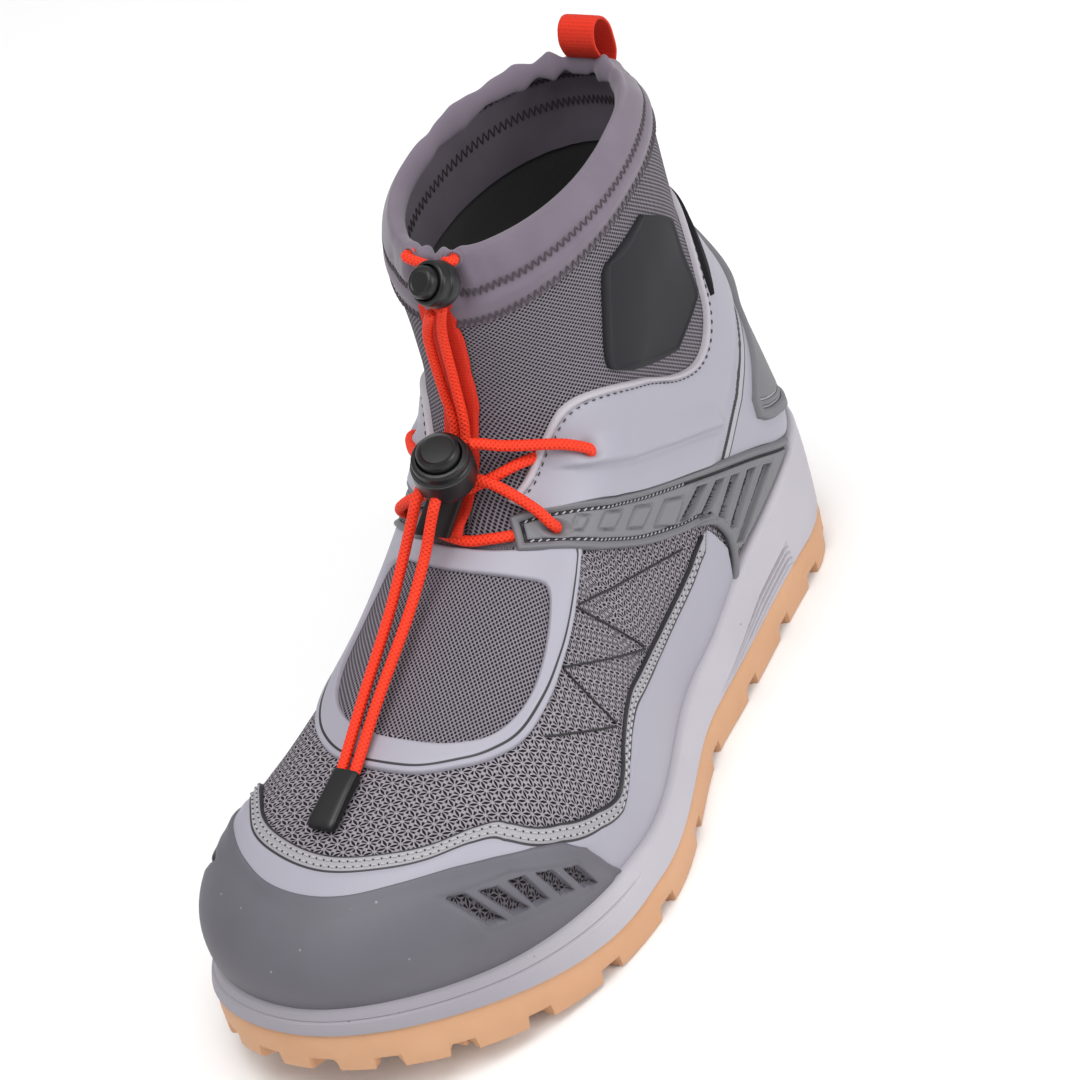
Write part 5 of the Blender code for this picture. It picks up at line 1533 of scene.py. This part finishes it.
make_lock("lace_lock", LACE_LOCK, "lace lock button")
make_lock("cuff_lock", CUFF_LOCK, "cuff lock button")
tab = ribbon(along(TAB_PATH, 30), TAB_WIDTH, TAB_THICKNESS)
piece("keeper_tab_moulded", tab, black, "keeper_tab")

# Cuff cord: a thinner braided cord that comes out of the cuff's tunnel through two sewn holes, runs through
# its lock, and hangs down to the back of the lace lock.

CUFF_EYE_LEVEL = 13.75
CUFF_EYE_TURN = math.radians(13.0)
lock_axis = unit(np.array(CUFF_LOCK["axis"]))
across = unit(np.cross(lock_axis, (1.0, 0.0, 0.0)))
entry = np.array(CUFF_LOCK["at"]) - np.cross(across, lock_axis) * (CUFF_LOCK["body"] - 1.0)
for side, sign, route in (("outer", 1.0, CUFF_CORD_OUTER), ("inner", -1.0, CUFF_CORD_INNER)):
    hole_turn = math.pi - sign * CUFF_EYE_TURN
    hole = [offset_skin(hole_turn, CUFF_EYE_LEVEL, stand) for stand in (-1.0, 2.9)]
    top = entry + across * sign * 2.4 - lock_axis
    upright = skin_normal(np.array([hole_turn]), np.array([CUFF_EYE_LEVEL]))[0]
    first = unit(np.cross(upright, (0.0, 0.0, 1.0)))
    spokes = circle(first, np.cross(upright, first), np.linspace(0.0, TURN, 29)[1:])
    eye = offset_skin(hole_turn, CUFF_EYE_LEVEL, 1.3)
    tilts = np.broadcast_to(upright, spokes.shape)
    sewing = stitches(eye + spokes * 1.7, eye + spokes * 3.0, tilts, 0.6)
    piece(f"cuff_eyelet_{side}", [sewing], mauve_thread)
    sheath = cord(np.array([*hole, top]), CUFF_CORD_RADIUS, 40)
    piece(f"cuff_cord_top_{side}_cord", sheath, braid, f"cuff_cord_top_{side}")
    sheath = cord(route, CUFF_CORD_RADIUS, 120)
    piece(f"cuff_cord_{side}_cord", sheath, braid, f"cuff_cord_{side}")

# Studio: a pale floor, soft light from above, the front and the outer side, and the camera at the picture's
# angle.

floor_mesh = bpy.data.meshes.new("floor")
floor_mesh.from_pydata([(-6, -6, 0), (6, -6, 0), (6, 6, 0), (-6, 6, 0)], [], [(0, 1, 2, 3)])
floor = bpy.data.objects.new("floor", floor_mesh)
bpy.context.scene.collection.objects.link(floor)
floor_mesh.materials.append(material("white paper", 0.9, "#f4f4f4")[0])

world = bpy.data.worlds.new("studio")
world.use_nodes = True
world.node_tree.nodes["Background"].inputs["Color"].default_value = (1.0, 1.0, 1.0, 1.0)
world.node_tree.nodes["Background"].inputs["Strength"].default_value = 0.55
bpy.context.scene.world = world


def soft_light(name, at, size, power):
    """A square lamp that faces the shoe."""
    lamp = bpy.data.lights.new(name, "AREA")
    lamp.size = size
    lamp.energy = power
    made = bpy.data.objects.new(name, lamp)
    made.location = at
    aim = made.location.copy()
    aim.z -= 0.1
    made.rotation_mode = "QUATERNION"
    made.rotation_quaternion = aim.to_track_quat("Z", "Y")
    bpy.context.scene.collection.objects.link(made)


soft_light("overhead", (0.4, 0.1, 1.7), 1.2, 22.0)
soft_light("front", (1.7, -0.3, 0.8), 1.0, 2.5)
soft_light("outer side", (-0.1, 1.7, 0.9), 1.0, 15.0)
bpy.context.scene.view_settings.view_transform = "Standard"

CAMERA_TURN = math.radians(125.21)
CAMERA_RISE = math.radians(35.96)
CAMERA_ROLL = math.radians(-15.75)
CAMERA_AWAY = 1.31418
level_right = np.array([math.cos(CAMERA_TURN), math.sin(CAMERA_TURN), 0.0])
level_back = np.array([math.sin(CAMERA_TURN), -math.cos(CAMERA_TURN), 0.0])
back = level_back * math.cos(CAMERA_RISE) + np.array([0.0, 0.0, math.sin(CAMERA_RISE)])
level_up = np.cross(back, level_right)
right = level_right * math.cos(CAMERA_ROLL) + level_up * math.sin(CAMERA_ROLL)
up = level_up * math.cos(CAMERA_ROLL) - level_right * math.sin(CAMERA_ROLL)
stand = np.eye(4)
stand[:3, :3] = np.column_stack([right, up, back])
stand[:3, 3] = np.array([0.0, 0.0, 0.095]) + back * CAMERA_AWAY
lens = bpy.data.cameras.new("camera")
lens.sensor_width = 36.0
lens.lens = 141.16
lens.shift_x = 0.0365
lens.shift_y = 0.0078
camera = bpy.data.objects.new("camera", lens)
bpy.context.scene.collection.objects.link(camera)
camera.matrix_world = stand.T.tolist()
bpy.context.scene.camera = camera
